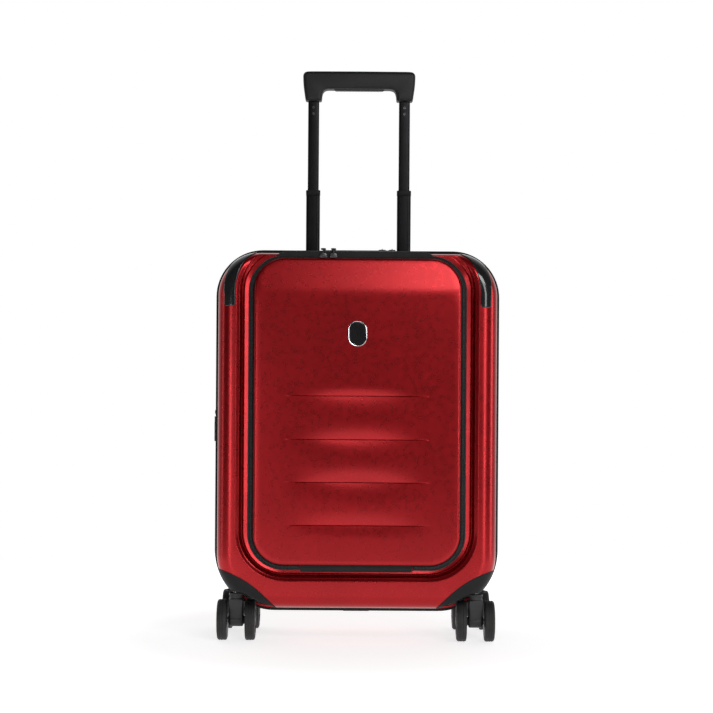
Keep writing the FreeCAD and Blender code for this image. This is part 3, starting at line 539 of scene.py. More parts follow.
EDGE_ANGLES = [3, 6, 11, 17, 24, 31, 38, 46, 54, 62, 70, 78, 84, 90]
STEEP_INSETS = [8.3, 8.9, 9.4, 9.9, 10.6, 11.6]
FOOT = 2.0
GROOVE_FLOOR, GROOVE_WIDTH, GROOVE_TOP, GROOVE_FADE = 74, 4.9, 530, 60
LEDGE, LEDGE_RADIUS, LEDGE_CREST = 5.0, 1.2, 2.2
CHAMFER, CHAMFER_END, WALL_RUN = 5.6, 1, 0.5
GROOVE_WALLS = (6.2, 5.6, 5.1, 4.7, 4.2, 3.2, 2.2, 1.5, 1.0, 0.6, 0.3, 0.08, 0, -0.5, -0.9, -1.5, -2.5, -3.9,
                -4.4, -4.9, -5.0, -5.2, -5.6, -6.2, -6.8)


def groove_floor(out, z, skin):
    """Level of the recess around the panel: a deep groove along its wall, then a ledge with a soft crest."""
    deep = (RECESS_FLOOR - GROOVE_FLOOR) * max(0, min(1, (GROOVE_TOP - z) / GROOVE_FADE))
    if skin:
        return RECESS_FLOOR - skin - (deep if out > -9.5 else 0)
    if out > -GROOVE_WIDTH:
        near = max(out + WALL_RUN + FOOT, FOOT - GROOVE_WIDTH - out, 0)
        return RECESS_FLOOR - deep + (FOOT - sqrt(max(FOOT ** 2 - min(near, FOOT) ** 2, 0))) * min(1, deep / 6)
    soft = min(1.5, deep)
    if out > -LEDGE:
        return RECESS_FLOOR - deep + (deep - soft) * min(1, (-GROOVE_WIDTH - out) / (LEDGE - GROOVE_WIDTH))
    away = max(0, (out + LEDGE + LEDGE_RADIUS) / LEDGE_RADIUS)
    crest = LEDGE_CREST * min(1, deep / 6) * max(0, min(1, (out + 12) / 6)) - 0.7 * away
    return RECESS_FLOOR + crest - soft * (1 - sqrt(max(1 - away * away, 0)))


def recess_depth(x, z, around):
    """Depth of the front face: a chamfer around the recess, a steep wall, the groove and the ledge."""
    out = -inside(RECESS, x, z)
    share = max(0, min(1, (around - RECESS_FLOOR) / 11))
    if out >= CHAMFER:
        return around
    along = min(1, (CHAMFER - out) / (CHAMFER - CHAMFER_END))
    level = around - 3.3 * share * (along * along / 0.4 if along < 0.2 else along - 0.1)
    if out >= CHAMFER_END:
        return level
    if out >= 0:
        return level - share * (1 - sqrt(max(1 - (1 - out) ** 2, 0)))
    floor = groove_floor(out, z, 0)
    if out > -WALL_RUN:
        top = level - share
        return min(around, top + (min(floor, top) - top) * (-out / WALL_RUN))
    near = max(1.4 - abs(around - floor), 0)
    return min(around, floor) - near * near / 5.6


def front_face():
    """The front shell outside and inside, closed at its rim and at the opening."""
    def outer_height(x, z):
        return recess_depth(x, z, edge_depth(inside(CASE, x, z), 0))

    def inner_height(x, z):
        around = edge_depth(inside(CASE, x, z), WALL)
        out = -inside(RECESS, x, z) - WALL
        if out >= 0:
            return around
        floor = groove_floor(out + WALL, z, WALL)
        return min(around, floor if out < -0.5 else floor + (max(around, floor) - floor) * (1 + out / 0.5))

    form = Form()
    for skin, level, walls in ((0, outer_height, GROOVE_WALLS),
                               (WALL, inner_height, (WALL, WALL - 0.5, -9.4, -9.6))):
        start = side_insets(skin)[1][0]
        insets = edge_insets(skin, EDGE_ANGLES) + STEEP_INSETS
        lines = [grown(CASE, -inset, CASE_ARC) for inset in insets]
        lines += [grown(RECESS, more, 30, 24) for more in walls] + [grown(OPENING)]
        form.join(meshed(lines, [], lambda x, z: inside(CASE, x, z) >= start - TINY
                         and inside(OPENING, x, z) <= TINY, level))
        form.stacked([(CASE, -inset, -y) for inset, y in side_insets(skin)], arc=CASE_ARC)
    form.stacked([(CASE, -STEP - skin, -RIM) for skin in (0, WALL)], arc=CASE_ARC)
    return form.stacked([(OPENING, 0, skin - RECESS_FLOOR) for skin in (0, WALL)])


NOTCH, NOTCH_HALF = 1.1, 0.6


def rib_drop(x, z, deep):
    """Depth of the sculpted cushions: they swell between creases that fade out at both ends."""
    fade = max(0, 1 - (abs(x) / RIB_HALF) ** 2) ** 1.6
    drop = 0
    for crease, depth, below, above in CREASES:
        away = z - crease
        reach = above if away > 0 else below
        drop += depth * fade * max(0, 1 - abs(away) / reach) ** 2
        drop += NOTCH * min(1, 4 * fade) * max(0, 1 - abs(away) / NOTCH_HALF)
    return drop * deep


def rib_spots(half, low, high):
    """Places for the scoops' points, closer together at the creases."""
    levels, step = set(), 4
    for crease, *_ in CREASES:
        levels |= {crease + d for d in (-9, -6.5, -4.5, -2.8, -1.6, -0.9, -0.6, 0, 0.6, 0.9, 1.6, 2.8, 4.5, 6.5, 9)}
    z = low
    while z < high:
        if min(abs(z - crease[0]) for crease in CREASES) > 10:
            levels.add(z)
        z += step
    columns = int(half // step)
    return [(i * half / columns, z) for z in sorted(levels) for i in range(-columns, columns + 1)]


def lean(z):
    """How far the panel's top leans back, with a soft start."""
    slope = PANEL_LEAN / (PANEL["high"] - PANEL_BEND)
    over, soft = z - PANEL_BEND, 7
    if over < -soft:
        return 0
    return slope * (over if over > soft else (over + soft) ** 2 / (4 * soft))


PANEL_EDGES = (0, 0.1, 0.35, 0.75, 1.3, 2.0, 2.8, 3.6)
PANEL_EDGE = 3.6


def panel_depth(x, z):
    away = max(PANEL_EDGE - inside(PANEL_SKIN, x, z), 0)
    edge = PANEL_EDGE - sqrt(max(PANEL_EDGE ** 2 - away * away, 0))
    return PANEL_FACE - lean(z) - edge - rib_drop(x, z, 1.0)


def front_panel():
    """The front panel: its sculpted face, its rim and its hollow back."""
    spots = [p for p in rib_spots(136, PANEL_SKIN["low"] + 7, PANEL_SKIN["high"] - 7)
             if inside(PANEL_SKIN, *p) > 6.5]
    form = Form()
    for skin, insets, clear in ((0, PANEL_EDGES, 0), (WALL, (WALL, 4, 6), 8)):
        form.join(meshed([grown(PANEL_SKIN, -inset) for inset in insets],
                         [p for p in spots if inside(PANEL_SKIN, *p) > clear],
                         lambda x, z: inside(PANEL_SKIN, x, z) >= skin - TINY,
                         lambda x, z: panel_depth(x, z) - skin))
    outer, inner = grown(PANEL_SKIN), grown(PANEL_SKIN, -WALL)
    return form.loft([[(x, -panel_depth(x, z), z) for x, z in outer],
                      [(x, -PANEL_BACK - 0.4, z) for x, z in outer],
                      [(x, -PANEL_BACK, z) for x, z in grown(PANEL_SKIN, -0.4)],
                      [(x, -PANEL_BACK, z) for x, z in inner],
                      [(x, WALL - panel_depth(x, z), z) for x, z in inner]], None)


def rear_face():
    """The rear shell: plain, with the panel's scoops made shallow, and a skin inside."""
    form = Form()
    for skin, spots, deep in ((0, rib_spots(120, 110, 470), 0.7), (WALL, [], 0)):
        start = side_insets(skin)[1][0]
        sheet = meshed([grown(CASE, -inset, CASE_ARC) for inset in edge_insets(skin, EDGE_ANGLES)], spots,
                       lambda x, z: inside(CASE, x, z) >= start - TINY,
                       lambda x, z: edge_depth(inside(CASE, x, z), skin) - rib_drop(x, z, deep))
        form.join(sheet.changed(mirror("y")))
        form.stacked([(CASE, -inset, y) for inset, y in side_insets(skin)], arc=CASE_ARC)
    return form.stacked([(CASE, -STEP - skin, RIM) for skin in (0, WALL)], arc=CASE_ARC)


# --- Cutting shapes at the lower corners and the wells

def prism(outline, start, end):
    """An outline seen from the front, given a depth."""
    return Form().loft([[(a, y, b) for a, b in outline] for y in (start, end)])


def hole(low, high, corner, axis="z", edge=0.02):
    """A boolean step that cuts a slab out."""
    return "DIFFERENCE", Form().slab(low, high, corner, edge, axis)


def four(form):
    """A form and its copies at all four corners."""
    return form.mirrored("x").mirrored("y")


ARCH_HIGH = 69
SWIVEL = 10  # a fork's swivel axis, behind its foremost point
TUCK, TUCK_START, TUCK_SPAN = 4.5, 128, 85


def arch(more=0.0):
    """The wheel arches at all four corners, more wide all round."""
    top = ARCH_HIGH + more
    corners = [(104 - more, -10), (240, -10), (240, top), (156.5, top), (151, top - 3), (119, top - 20),
               (104 - more, LOW + 4 + more)]
    return four(prism(soft_corners(corners, 7), 22 - more, 140))


def corner_block(more=0.0):
    """The corner that the wheel housing fills, at all four corners."""
    corners = [(95, 20), (240, 20), (240, 104 - more), (181, 102 - more), (152 + more / 2, 87 - more),
               (132 + more / 2, 71 - more), (113 + more, 50 - more)]
    return prism(soft_corners(corners, 16), 28 + more, 140)


def tub(skin, sign):
    """A shell's whole volume with its walls moved inwards by skin."""
    rings = side_insets(skin)
    rings += [(EDGE_INSET - (EDGE - skin) * cos(radians(a)),
               EDGE_DEPTH + (EDGE - skin) * sin(radians(a))) for a in EDGE_ANGLES[1:]]
    return Form().stacked([(CASE, -inset, sign * y) for inset, y in rings], "cap", CASE_ARC)


def tucked(item):
    """Draws the front shell's lower edge up a little towards its face."""
    for vertex in item.data.vertices:
        _, y, z = vertex.co / MM
        low = max(0, min(1, (TUCK_START - z) / TUCK_SPAN))
        forward = max(0, min(1, (-y - RIM) / (EDGE_DEPTH - RIM)))
        vertex.co.z += TUCK * MM * forward * low ** 1.6
    return item


def shells():
    corners = ("DIFFERENCE", arch()), ("DIFFERENCE", four(corner_block()))
    low, high = mm_box("lock_body")
    lock_hole = hole((low.x + 1, low.y + 1, 500), (high.x - 1, high.y - 1, 560), 4, "z", 0.01)
    front = carved(front_face().made("front_shell_skin"), *corners, lock_hole)
    show(tucked(front), "shell_red", "front_shell", "front_shell")
    holes = []
    for node, axis in (("grip_well", "z"), ("top_handle_well", "z"), ("side_handle_well", "x")):
        low, high = mm_box(node)
        low, high = low + Vector((0.4,) * 3), high - Vector((0.4,) * 3)
        if axis == "z":
            high.z += 30
        else:
            low.x -= 30
        holes.append(hole(low, high, 4, axis, 0.01))
    rear = carved(rear_face().made("rear_shell_skin"), *corners, *holes)
    show(rear, "shell_red", "rear_shell", "rear_shell")
    show(front_panel().made("front_panel_skin"), "shell_red", "front_panel", "front_panel")


def wheel_housings():
    """Grained plastic corners: a skin a little proud of the shell, the wheel arch and the pin's boss."""
    proud = 0.6
    for side, sign in (("front", -1), ("rear", 1)):
        node = f"{side}_wheel_housings"
        block = corner_block(0.3).mirrored("x")
        if sign < 0:
            block = block.changed(mirror("y"))
        room = carved(tub(WALL, sign).made("room"), ("DIFFERENCE", arch(3)))
        hollow = Form().add([tuple(v.co / MM) for v in room.data.vertices],
                            [tuple(p.vertices) for p in room.data.polygons])
        bpy.data.objects.remove(room)
        housing = carved(tub(-proud, sign).made(f"{side}_housing_skin"), ("INTERSECT", block),
                         ("DIFFERENCE", arch()), ("DIFFERENCE", hollow))
        show(tucked(housing) if sign < 0 else housing, "dark_plastic", node, node)
        bosses = Form()
        for hand in ("left", "right"):
            low, high = mm_box(f"caster_fork_{side}_{hand}")
            bosses.turned([(0, 4.3), (0, 13), (1.2, 14), (2.2, 14), (3, 10.5), (17, 10), (18, 9), (18, 4.3)],
                          ((low.x + high.x) / 2, low.y + SWIVEL, ARCH_HIGH + 1), "z", 36, "join")
        show(bosses.made(f"{side}_housing_bosses"), "dark_plastic", node)


# --- Corner guards: thin caps that follow the shell

def side_length():
    return (EDGE_DEPTH + EDGE * sin(DRAFT) - RIM) / cos(DRAFT)


def on_profile(length):
    """Inset, depth and angle of the surface at a length along the shell's profile from its rim."""
    straight = side_length()
    if length <= straight:
        return STEP + length * sin(DRAFT), RIM + length * cos(DRAFT), DRAFT
    angle = DRAFT + (length - straight) / EDGE
    if angle < pi / 2:
        return EDGE_INSET - EDGE * cos(angle), EDGE_DEPTH + EDGE * sin(angle), angle
    return EDGE_INSET + (angle - pi / 2) * EDGE, FACE, pi / 2


def interpolated(table, place):
    """A smooth curve through the pairs of a table."""
    k = max(i for i, (a, _) in enumerate(table[:-1]) if a <= place)
    (a, r), (b, s) = table[k:k + 2]
    before, after = table[max(k - 1, 0)], table[min(k + 2, len(table) - 1)]
    slopes = (s - before[1]) / (b - before[0]), (after[1] - r) / (after[0] - a)
    t, span = (place - a) / (b - a), b - a
    return ((2 * t ** 3 - 3 * t * t + 1) * r + (t ** 3 - 2 * t * t + t) * span * slopes[0]
            + (3 * t * t - 2 * t ** 3) * s + (t ** 3 - t * t) * span * slopes[1])


GUARD_START = [(0, 78.8), (20, 74.3), (42, 65.6), (60, 56.5), (72, 51), (84, 47)]
GUARD_END = [(0, 94.5), (18, 92.8), (41, 87.5), (60, 78.5), (72, 71), (84, 64)]
GUARD_BELOW = 15
GUARD_TIP = 84
GUARD_BORDER, GUARD_THICK = 1.1, 1.25
DEGREE = 0.92  # degrees round the corner for a millimetre along the guard


def narrowing(distance, radius):
    """How much a round end takes off each side at a distance from the end."""
    return radius - sqrt(max(radius ** 2 - max(radius - distance, 0) ** 2, 0))


def guard():
    """The cap over the front right upper corner, by degrees round the corner and length down the profile."""
    centre = (HALF - R_HIGH, HIGH - R_HIGH)
    across = [0, 0.03, 0.12, 0.3, 0.6, GUARD_BORDER]
    turns = [(0, d - GUARD_BELOW) for d in (*across, 1.7, 2.5, 3.6, 5, 7.5, 10, 12.5)]
    turns += [(2 * i, 0) for i in range(37)]
    turns += [(GUARD_TIP - d * DEGREE, 0) for d in (10, 8.4, 7, 5.8, 4.7, 3.6, 2.5, 1.7, *across[::-1])]
    rows = []
    for degrees, below in turns:
        start, end = (interpolated(table, degrees) for table in (GUARD_START, GUARD_END))
        tip, foot = (GUARD_TIP - degrees) / DEGREE, (below + GUARD_BELOW if degrees == 0 else 50)
        narrow = max(narrowing(foot, 4), min(narrowing(tip, 9), (end - start) / 2 - 0.4))
        start, end = start + narrow, end - narrow
        width = end - start
        near = [d * min(1, width / (2.4 * GUARD_BORDER)) for d in across]
        inner = [near[-1] + (width - 2 * near[-1]) * i / 22 for i in range(1, 22)]
        out = (cos(radians(degrees)), sin(radians(degrees)))
        row = []
        for w in near + inner + [width - d for d in reversed(near)]:
            away = max(min(w, width - w, foot, tip, GUARD_BORDER), 0)
            rise = GUARD_THICK * sqrt(max(1 - (1 - away / GUARD_BORDER) ** 2, 0))
            inset, depth, angle = on_profile(start + w)
            r = R_HIGH - inset
            base = Vector((centre[0] + r * out[0], -depth, centre[1] + r * out[1] + below))
            normal = Vector((cos(angle) * out[0], -sin(angle), cos(angle) * out[1]))
            row.append((base + normal * rise, base - normal * 0.5))
        rows.append(row)
    form = Form()
    for layer in (0, 1):
        form.loft([[p[layer] for p in row] for row in rows], None, around=False)
    for line in (rows[0], rows[-1], [row[0] for row in rows], [row[-1] for row in rows]):
        form.loft([[p[0] for p in line], [p[1] for p in line]], None, around=False)
    return form


def corner_guards():
    for side in ("front", "rear"):
        caps = guard() if side == "front" else guard().changed(mirror("y"))
        node = f"{side}_corner_guards"
        show(caps.mirrored("x").made(f"{side}_guard_caps"), "black_gloss", node, node, sharp=60)


# --- Zippers, band and gusset

WELT = 0.9


def swept(shape, section, skip=None, arc=18, side=16):
    """A closed section (outward, y) carried round a shape's outline, left out where skip(x, z) is true."""
    outlines = [grown(shape, out, arc, side) for out, _ in section]
    rings = [[(line[i][0], y, line[i][1]) for line, (_, y) in zip(outlines, section)]
             for i in range(len(outlines[0]))]
    if not skip:
        return Form().loft(rings, "join")
    kept = [not skip(*outlines[0][i]) for i in range(len(rings))]
    first = next(i for i in range(len(kept)) if kept[i] and not kept[i - 1])
    order = [(first + i) % len(kept) for i in range(len(kept))]
    return Form().loft([rings[i] for i in order if kept[i]])


def spaced(outline, pitch):
    """Points at equal distances along a closed outline, with the outward direction at each."""
    lengths = [dist(outline[i - 1], outline[i]) for i in range(len(outline))]
    total = sum(lengths)
    count = int(total / pitch)
    result, i, gone = [], 0, 0.0
    for k in range(count):
        target = k * total / count
        while gone + lengths[(i + 1) % len(outline)] < target:
            i += 1
            gone += lengths[i % len(outline)]
        a, b = outline[i % len(outline)], outline[(i + 1) % len(outline)]
        length = dist(a, b) or 1
        t = (target - gone) / length
        result.append((a[0] + (b[0] - a[0]) * t, a[1] + (b[1] - a[1]) * t,
                       (b[1] - a[1]) / length, -(b[0] - a[0]) / length))
    return result


def coil(outline, y, upright, skip, pitch=2.1, long=4.4, thick=0.62):
    """Nylon zipper coil: bowed teeth, upright on the tape around the case or flat on the panel's."""
    form = Form()
    sides = 6
    for x, z, nx, nz in spaced(outline, pitch):
        if skip(x, z):
            continue
        out = Vector((nx, 0, nz))
        rise, along = (out, Vector((0, 1, 0))) if upright else (Vector((0, -1, 0)), out)
        ahead = rise.cross(along)
        rings = []
        for place, size, lift in ((-0.5, 0.55, -0.35), (-0.3, 1, 0.35), (0.3, 1, 0.35), (0.5, 0.55, -0.35)):
            middle = Vector((x, y, z)) + along * place * long + rise * lift
            rings.append([middle + (ahead * cos(tau * k / sides)
                                    + rise * sin(tau * k / sides)) * thick * size
                          for k in range(sides)])
        form.loft(rings)
    return form


def case_zippers():
    """Four tapes around the case, the outer two with a piped edge, and the coils of the two zippers."""
    for node, inner, ahead in (("main_zipper_front", -6.4, 1), ("main_zipper_rear", -3.5, 0),
                               ("expansion_zipper_front", -3.5, 0), ("expansion_zipper_rear", -6.4, -1)):
        front, back = (corner.y for corner in mm_box(node))
        tape = swept(CASE, [(inner, front), (-1.4, front), (-0.9, front + 0.4), (-0.9, back - 0.4),
                            (-1.4, back), (inner, back)])
        if ahead:
            edge = (front if ahead > 0 else back) + ahead * (WELT + 0.05)
            turns = [tau * k / 10 for k in range(10)]
            tape.join(swept(CASE, [(WELT * cos(a) - WELT + 0.1, edge + WELT * sin(a)) for a in turns]))
        show(tape.made(node + "_tape"), "black_fabric", node, node)
    low, high = mm_box("main_hinge_strip")
    for zipper, side, skip in (("main", "front", lambda x, z: x > HALF - 6 and low.z < z < high.z),
                               ("expansion", "rear", lambda x, z: False)):
        seam = (mm_box(zipper + "_zipper_front")[1].y + mm_box(zipper + "_zipper_rear")[0].y) / 2
        teeth = coil(grown(CASE, -0.75, 18, 20), seam, True, skip)
        show(teeth.made(zipper + "_coil"), "black_fabric", f"{zipper}_zipper_{side}", look="zip_coil")


def band():
    """Elastomer band between the two zippers: a raised middle with two ridges, and the seal below."""
    front, back = mm_box("main_zipper_rear")[1].y, mm_box("expansion_zipper_front")[0].y
    half = [(-3.5, 0), (-0.7, 0), (-0.2, 0.5), (-0.2, 1.6), (-0.9, 2.2), (-0.9, 2.8), (0, 3.6)]
    section = [(out, front + y) for out, y in half] + [(out, back - y) for out, y in reversed(half)]
    ring = swept(CASE, section, None, 24, 18)
    ring.slab((-19, -4, mm_box("expansion_band")[0].z), (19, 6, LOW + 0.6), 3, 0.9, "z")
    show(ring.made("expansion_band_ring"), "black_fabric", "expansion_band", "expansion_band",
         look="band_black")


def expansion_gusset():
    """Folded cloth inside the band, and the cloth hinge of the main zipper."""
    low, high = mm_box("expansion_gusset")
    layers = 16
    folds = [(-6.5 - 0.45 * sin(pi * k / 2), low.y + 5 + (high.y - low.y - 6) * k / layers)
             for k in range(layers + 1)]
    section = folds + [(out - 0.5, y) for out, y in reversed(folds)]
    gusset = swept(CASE, section, None, 14, 10).made("expansion_gusset_cloth")
    dress(gusset, "black_fabric")
    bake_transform(gusset)
    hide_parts("expansion_gusset")
    strip = Form().slab(*mm_box("main_hinge_strip"), 0.7, 0.5, "y").made("main_hinge_cloth")
    show(strip, "black_fabric", "main_hinge_strip", "main_hinge_strip")


def panel_zipper():
    """The zipper around the panel: two tapes with a gap between them, and the coil."""
    def beside_hinge(more):
        return lambda x, z: abs(x) < HINGE_HALF + more and z < PANEL["low"] + 5

    gap = 0.15
    middle = 3.4 + gap
    far = middle + 4.3
    face, foot = -TAPE_FACE, -RECESS_FLOOR
    inner = [(0.15, foot), (0.15, face + 0.4), (0.6, face), (middle - gap - 0.3, face),
             (middle - gap, face + 0.4), (middle - gap, foot)]
    outer = [(middle + gap, foot), (middle + gap, face + 0.4), (middle + gap + 0.3, face), (far - 1.8, face),
             (far - 1.5, face - 0.45), (far - 0.4, face - 0.3), (far, face + 0.5), (far, foot)]
    for node, section in (("panel_zipper_inner", inner), ("panel_zipper_outer", outer)):
        tape = swept(PANEL, section, beside_hinge(0.4), 18, 150)
        show(tape.made(node + "_tape"), "black_fabric", node, node)
    teeth = coil(grown(PANEL, middle, 18, 40), face - 0.35, False, beside_hinge(3), 1.9, 3.6, 0.6)
    show(teeth.made("panel_coil"), "black_fabric", "panel_zipper_outer", look="zip_coil")


def panel_flap():
    """The flap of cloth over the top of the panel's zipper, thinner towards its ends."""
    left, right, face, foot = -112, 104, -TAPE_FACE, 535.6
    rings = []
    for i in range(61):
        x = left + (right - left) * i / 60
        thin = min(1, (x - left) / 14, (right - x) / 14) ** 0.5
        top, back = foot + 0.8 + 5.9 * thin, face + 3.2 * thin + 1
        rings.append([(x, face + 0.2, foot), (x, face - 0.35, foot + 0.8), (x, face - 0.3, top - 0.8),
                      (x, face + 0.3, top), (x, back, top + 0.35), (x, back, top - 1), (x, face + 1, foot + 0.2)])
    show(Form().loft(rings).made("panel_flap"), "black_fabric", "panel_zipper_outer")


def panel_hinge():
    """The cloth hinge along the panel's lower edge."""
    low, high = mm_box("panel_hinge_strip")
    low.z -= 2.6
    rows, columns = 14, 40
    line = [(low.y - 0.4 * sin(pi * k / rows), low.z + (PANEL["low"] + 1.2 - low.z) * k / rows)
            for k in range(rows + 1)]
    section = line + [(y + 1.2, z) for y, z in reversed(line)]
    strip = Form().loft([[(low.x + (high.x - low.x) * i / columns, y, z) for y, z in section]
                         for i in range(columns + 1)]).made("panel_hinge_cloth")
    dress(strip, "black_fabric")
    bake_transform(strip)
    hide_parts("panel_hinge_strip")


# --- Sliders, pullers and the badge

def puller(node, along, flat):
    """A cast tab with a ridged grip and an eye at its pin: along and flat are axes."""
    low, high = mm_box(node)
    a, c = "xyz".index(along), "xyz".index(flat)
    b = 3 - a - c
    form = Form()

    def block(length, width, height, corner, edge):
        ends = Vector(), Vector()
        for axis, pair in ((a, length), (b, width), (c, height)):
            for end, place in zip(ends, pair):
                end[axis] = place
        form.slab(*ends, corner, edge, flat)

    thick = min(high[c] - low[c], 2.0)
    back, face, neck = low[c] + 0.15, low[c] + thick - 0.25, high[a] - 7.5
    block((low[a], neck), (low[b], high[b]), (back, face), 2.4, 0.6)
    start, step = low[a] + 2, (neck - low[a] - 4.5) / 4
    for i in range(4):
        block((start + step * i + 0.25, start + step * (i + 1) - 0.25), (low[b] + 1.5, high[b] - 1.5),
              (back + 0.3, low[c] + thick), 0.6, 0.4)
    core = back + 0.1, face - 0.1
    for side in (low[b] + 0.6, high[b] - 2.0):
        block((neck - 1.5, high[a]), (side, side + 1.4), core, 0.6, 0.4)
    block((high[a] - 1.6, high[a]), (low[b] + 0.6, high[b] - 0.6), core, 0.6, 0.5)
    show(form.made(node + "_tab"), "slider_metal", node, node)


def octagon(a0, a1, b0, b1, cut_a, cut_b):
    """A rectangle with its corners cut off and softened."""
    return soft_corners([(a0, b0 + cut_b), (a0 + cut_a, b0), (a1 - cut_a, b0), (a1, b0 + cut_b),
                         (a1, b1 - cut_b), (a1 - cut_a, b1), (a0 + cut_a, b1), (a0, b1 - cut_b)], 1.2, 3)


def sliders():
    """Cast slider bodies: a waisted base, a cap and the bridge that carries the puller."""
    for node in ("panel_slider_left", "panel_slider_right"):
        low, high = mm_box(node)
        x, top = (low.x + high.x) / 2, high.z - 3.6
        base = soft_corners([(low.x, low.z), (high.x, low.z), (high.x, low.z + 3), (x + 3.6, top),
                             (x - 3.6, top), (low.x, low.z + 3)], 1.5, 3)
        form = Form().pebble(base, low.y, low.y + 1.4, 0.5, "y").pebble(base, high.y - 1.4, high.y, 0.5, "y")
        form.slab((x - 2, low.y + 1, low.z + 0.5), (x + 2, high.y - 1, top), 0.5, 0.2, "y")
        bridge = [(0.8, low.z + 2.2), (-0.4, low.z + 4.5), (-0.2, high.z - 1.6), (1.0, high.z - 0.4),
                  (2.6, high.z - 1.0), (3.2, high.z - 3.0), (3.0, low.z + 6.0)]
        form.rod([(x, low.y + y, z) for y, z in bridge], 0.75, 8)
        show(form.made(node + "_body"), "slider_metal", node, node)
        puller(node.replace("slider", "puller"), "y", "z")
    for node in ("main_slider_left", "main_slider_right"):
        low, high = mm_box(node)
        x, y = (low.x + high.x) / 2, (low.y + high.y) / 2
        outline = octagon(low.x, high.x, low.y, high.y, 2.4, 2)
        form = Form().pebble(outline, low.z, low.z + 1.5, 0.5, "z")
        bridge = [(low.y + 0.9, low.z + 0.9), (low.y + 0.5, high.z - 0.7), (y - 1, high.z - 0.2),
                  (y + 2, high.z - 0.6), (high.y - 1, low.z + 1.0)]
        form.rod([(x, b, c) for b, c in bridge], 0.7, 8)
        show(form.made(node + "_body"), "slider_metal", node, node)
        puller(node.replace("slider", "puller"), "y", "z")
    low, high = mm_box("expansion_slider")
    y, z = (low.y + high.y) / 2, (low.z + high.z) / 2
    form = Form().pebble(octagon(low.y, high.y, low.z, high.z, 2, 2.4), high.x - 1.9, high.x, 0.5, "x")
    form.rod([(high.x - 1.2, y, high.z - 1), (low.x + 0.8, y, high.z - 2), (low.x + 0.6, y, z),
              (high.x - 1.2, y, low.z + 1.2)], 0.7, 8)
    show(form.made("expansion_slider_body"), "slider_metal", "expansion_slider", "expansion_slider")
    puller("expansion_puller", "z", "x")


def badge():
    """A plain pill: a bright rim around a dark domed face."""
    low, high = mm_box("badge_plate")
    r, front, back = high.x - 0.5, low.y, high.y

    def pill(rows, ends):
        return Form().loft([[(x, y, z) for x, z in rounded(low.x + less, high.x - less, low.z + less,
                                                           high.z - less, r - less, r - less, 14)]
                            for less, y in rows], ends)

    rim = pill([(0.05, back - 0.05), (0, back - 0.5), (0.15, front + 0.35), (0.6, front), (1.05, front + 0.1),
                (1.4, front + 0.6), (1.5, back)], "join")
    show(rim.made("badge_rim"), "black_gloss", "badge_plate", "badge_plate", look="bright_rim")
    face = pill([(1.3, back), (1.3, front + 0.75), (2.2, front + 0.6), (5, front + 0.45), (9, front + 0.38)],
                "cap")
    show(face.made("badge_face"), "black_gloss", "badge_plate")


# --- Lock

def lock():
    """The lock: its housing with openings for the dials, the latch and the key, their trim, and the parts."""
    low, high = mm_box("lock_body")
    dials = [mm_box(f"lock_dial_{i}") for i in (1, 2, 3)]
    (near, far), (_, last) = dials[0], dials[2]
    y, z = (near.y + far.y) / 2, (near.z + far.z) / 2
    radius, above, key_x, top = far.z - z, 560, 36, high.z
    latch_low, latch_high = mm_box("lock_latch")
    plate = Form().slab((low.x, low.y, 536), high, 7, 1.3, "z", 4).made("lock_plate")
    box = Form().slab((low.x + 17, y - 15, low.z), (high.x - 17, y + 14, 537), 2, 0.4, "z")
    slots = [hole((a.x - 0.4, y - 7.0, z - 7), (b.x + 0.4, y + 7.0, above), 0.5) for a, b in dials]
    latch_slot = hole((11, latch_low.y - 0.5, top - 3), (28, latch_high.y + 0.5, above), 0.8)
    keyhole = "DIFFERENCE", Form().turned([(0, 2.6), (20, 2.6)], (key_x, y, top - 1.6), "z", 28)
    show(carved(plate, ("UNION", box), *slots, latch_slot, keyhole), "lock_grey", "lock_body", "lock_body")
    trim = Form()
    for a, b in dials:
        outline = rounded(a.x - 1.3, b.x + 1.3, y - 8.0, y + 8.0, 1.2, 1.2)
        mouth = rounded(a.x - 0.5, b.x + 0.5, y - 7.1, y + 7.1, 0.5, 0.5)
        middle = [((p[0] + q[0]) / 2, (p[1] + q[1]) / 2) for p, q in zip(outline, mouth)]
        trim.loft([[(*place, level) for place in line] for line, level in
                   ((outline, top - 0.1), (middle, top + 0.35), (mouth, top + 0.2), (mouth, top - 1))], None)
    trim.turned([(0, 0.01), (0, 2.2), (0.7, 2.2), (0.7, 0.01)], (key_x, y, top - 1.5), "z", 28, None)
    trim.slab((key_x - 0.4, y - 1.6, top - 0.9), (key_x + 0.4, y + 1.6, top - 0.6), 0.3, 0.1, "z")
    trim.rod([(near.x - 7, y, z), (last.x + 6, y, z)], 1.4, 16)
    show(trim.made("lock_trim"), "lock_grey", "lock_body", look="slider_metal")
    for number, (a, b) in enumerate(dials, start=1):
        node, middle, half = f"lock_dial_{number}", (a.x + b.x) / 2, (b.x - a.x) / 2
        side = [(-half, 1.45), (-half, radius - 1.2), (0.5 - half, radius - 0.35)]
        wheel = Form().turned(side + [(-along, r) for along, r in reversed(side)], (middle, y, z), "x", 40, "join")
        for k in range(1, 20, 2):
            turn = tau * (k + 0.5) / 20
            b1, c1 = y + cos(turn) * (radius - 0.3), z + sin(turn) * (radius - 0.3)
            wheel.rod([(a.x + 0.5, b1, c1), (b.x - 0.5, b1, c1)], 0.28, 6)
        show(wheel.made(node + "_wheel"), "lock_grey", node, node, look="grip_black")
        show(dial_numbers(node, middle, y, z, radius - 0.32), "lock_grey", node, look="dial_white")
    latch = Form().slab(latch_low, latch_high, 0.8, 0.4, "z")
    for i in range(4):
        x = latch_low.x + 1.6 + i * 1.9
        latch.slab((x, latch_low.y + 0.7, latch_high.z - 0.4), (x + 0.8, latch_high.y - 0.7, latch_high.z + 0.35),
                   0.3, 0.2, "z")
    show(latch.made("lock_latch_key"), "lock_grey", "lock_latch", "lock_latch")


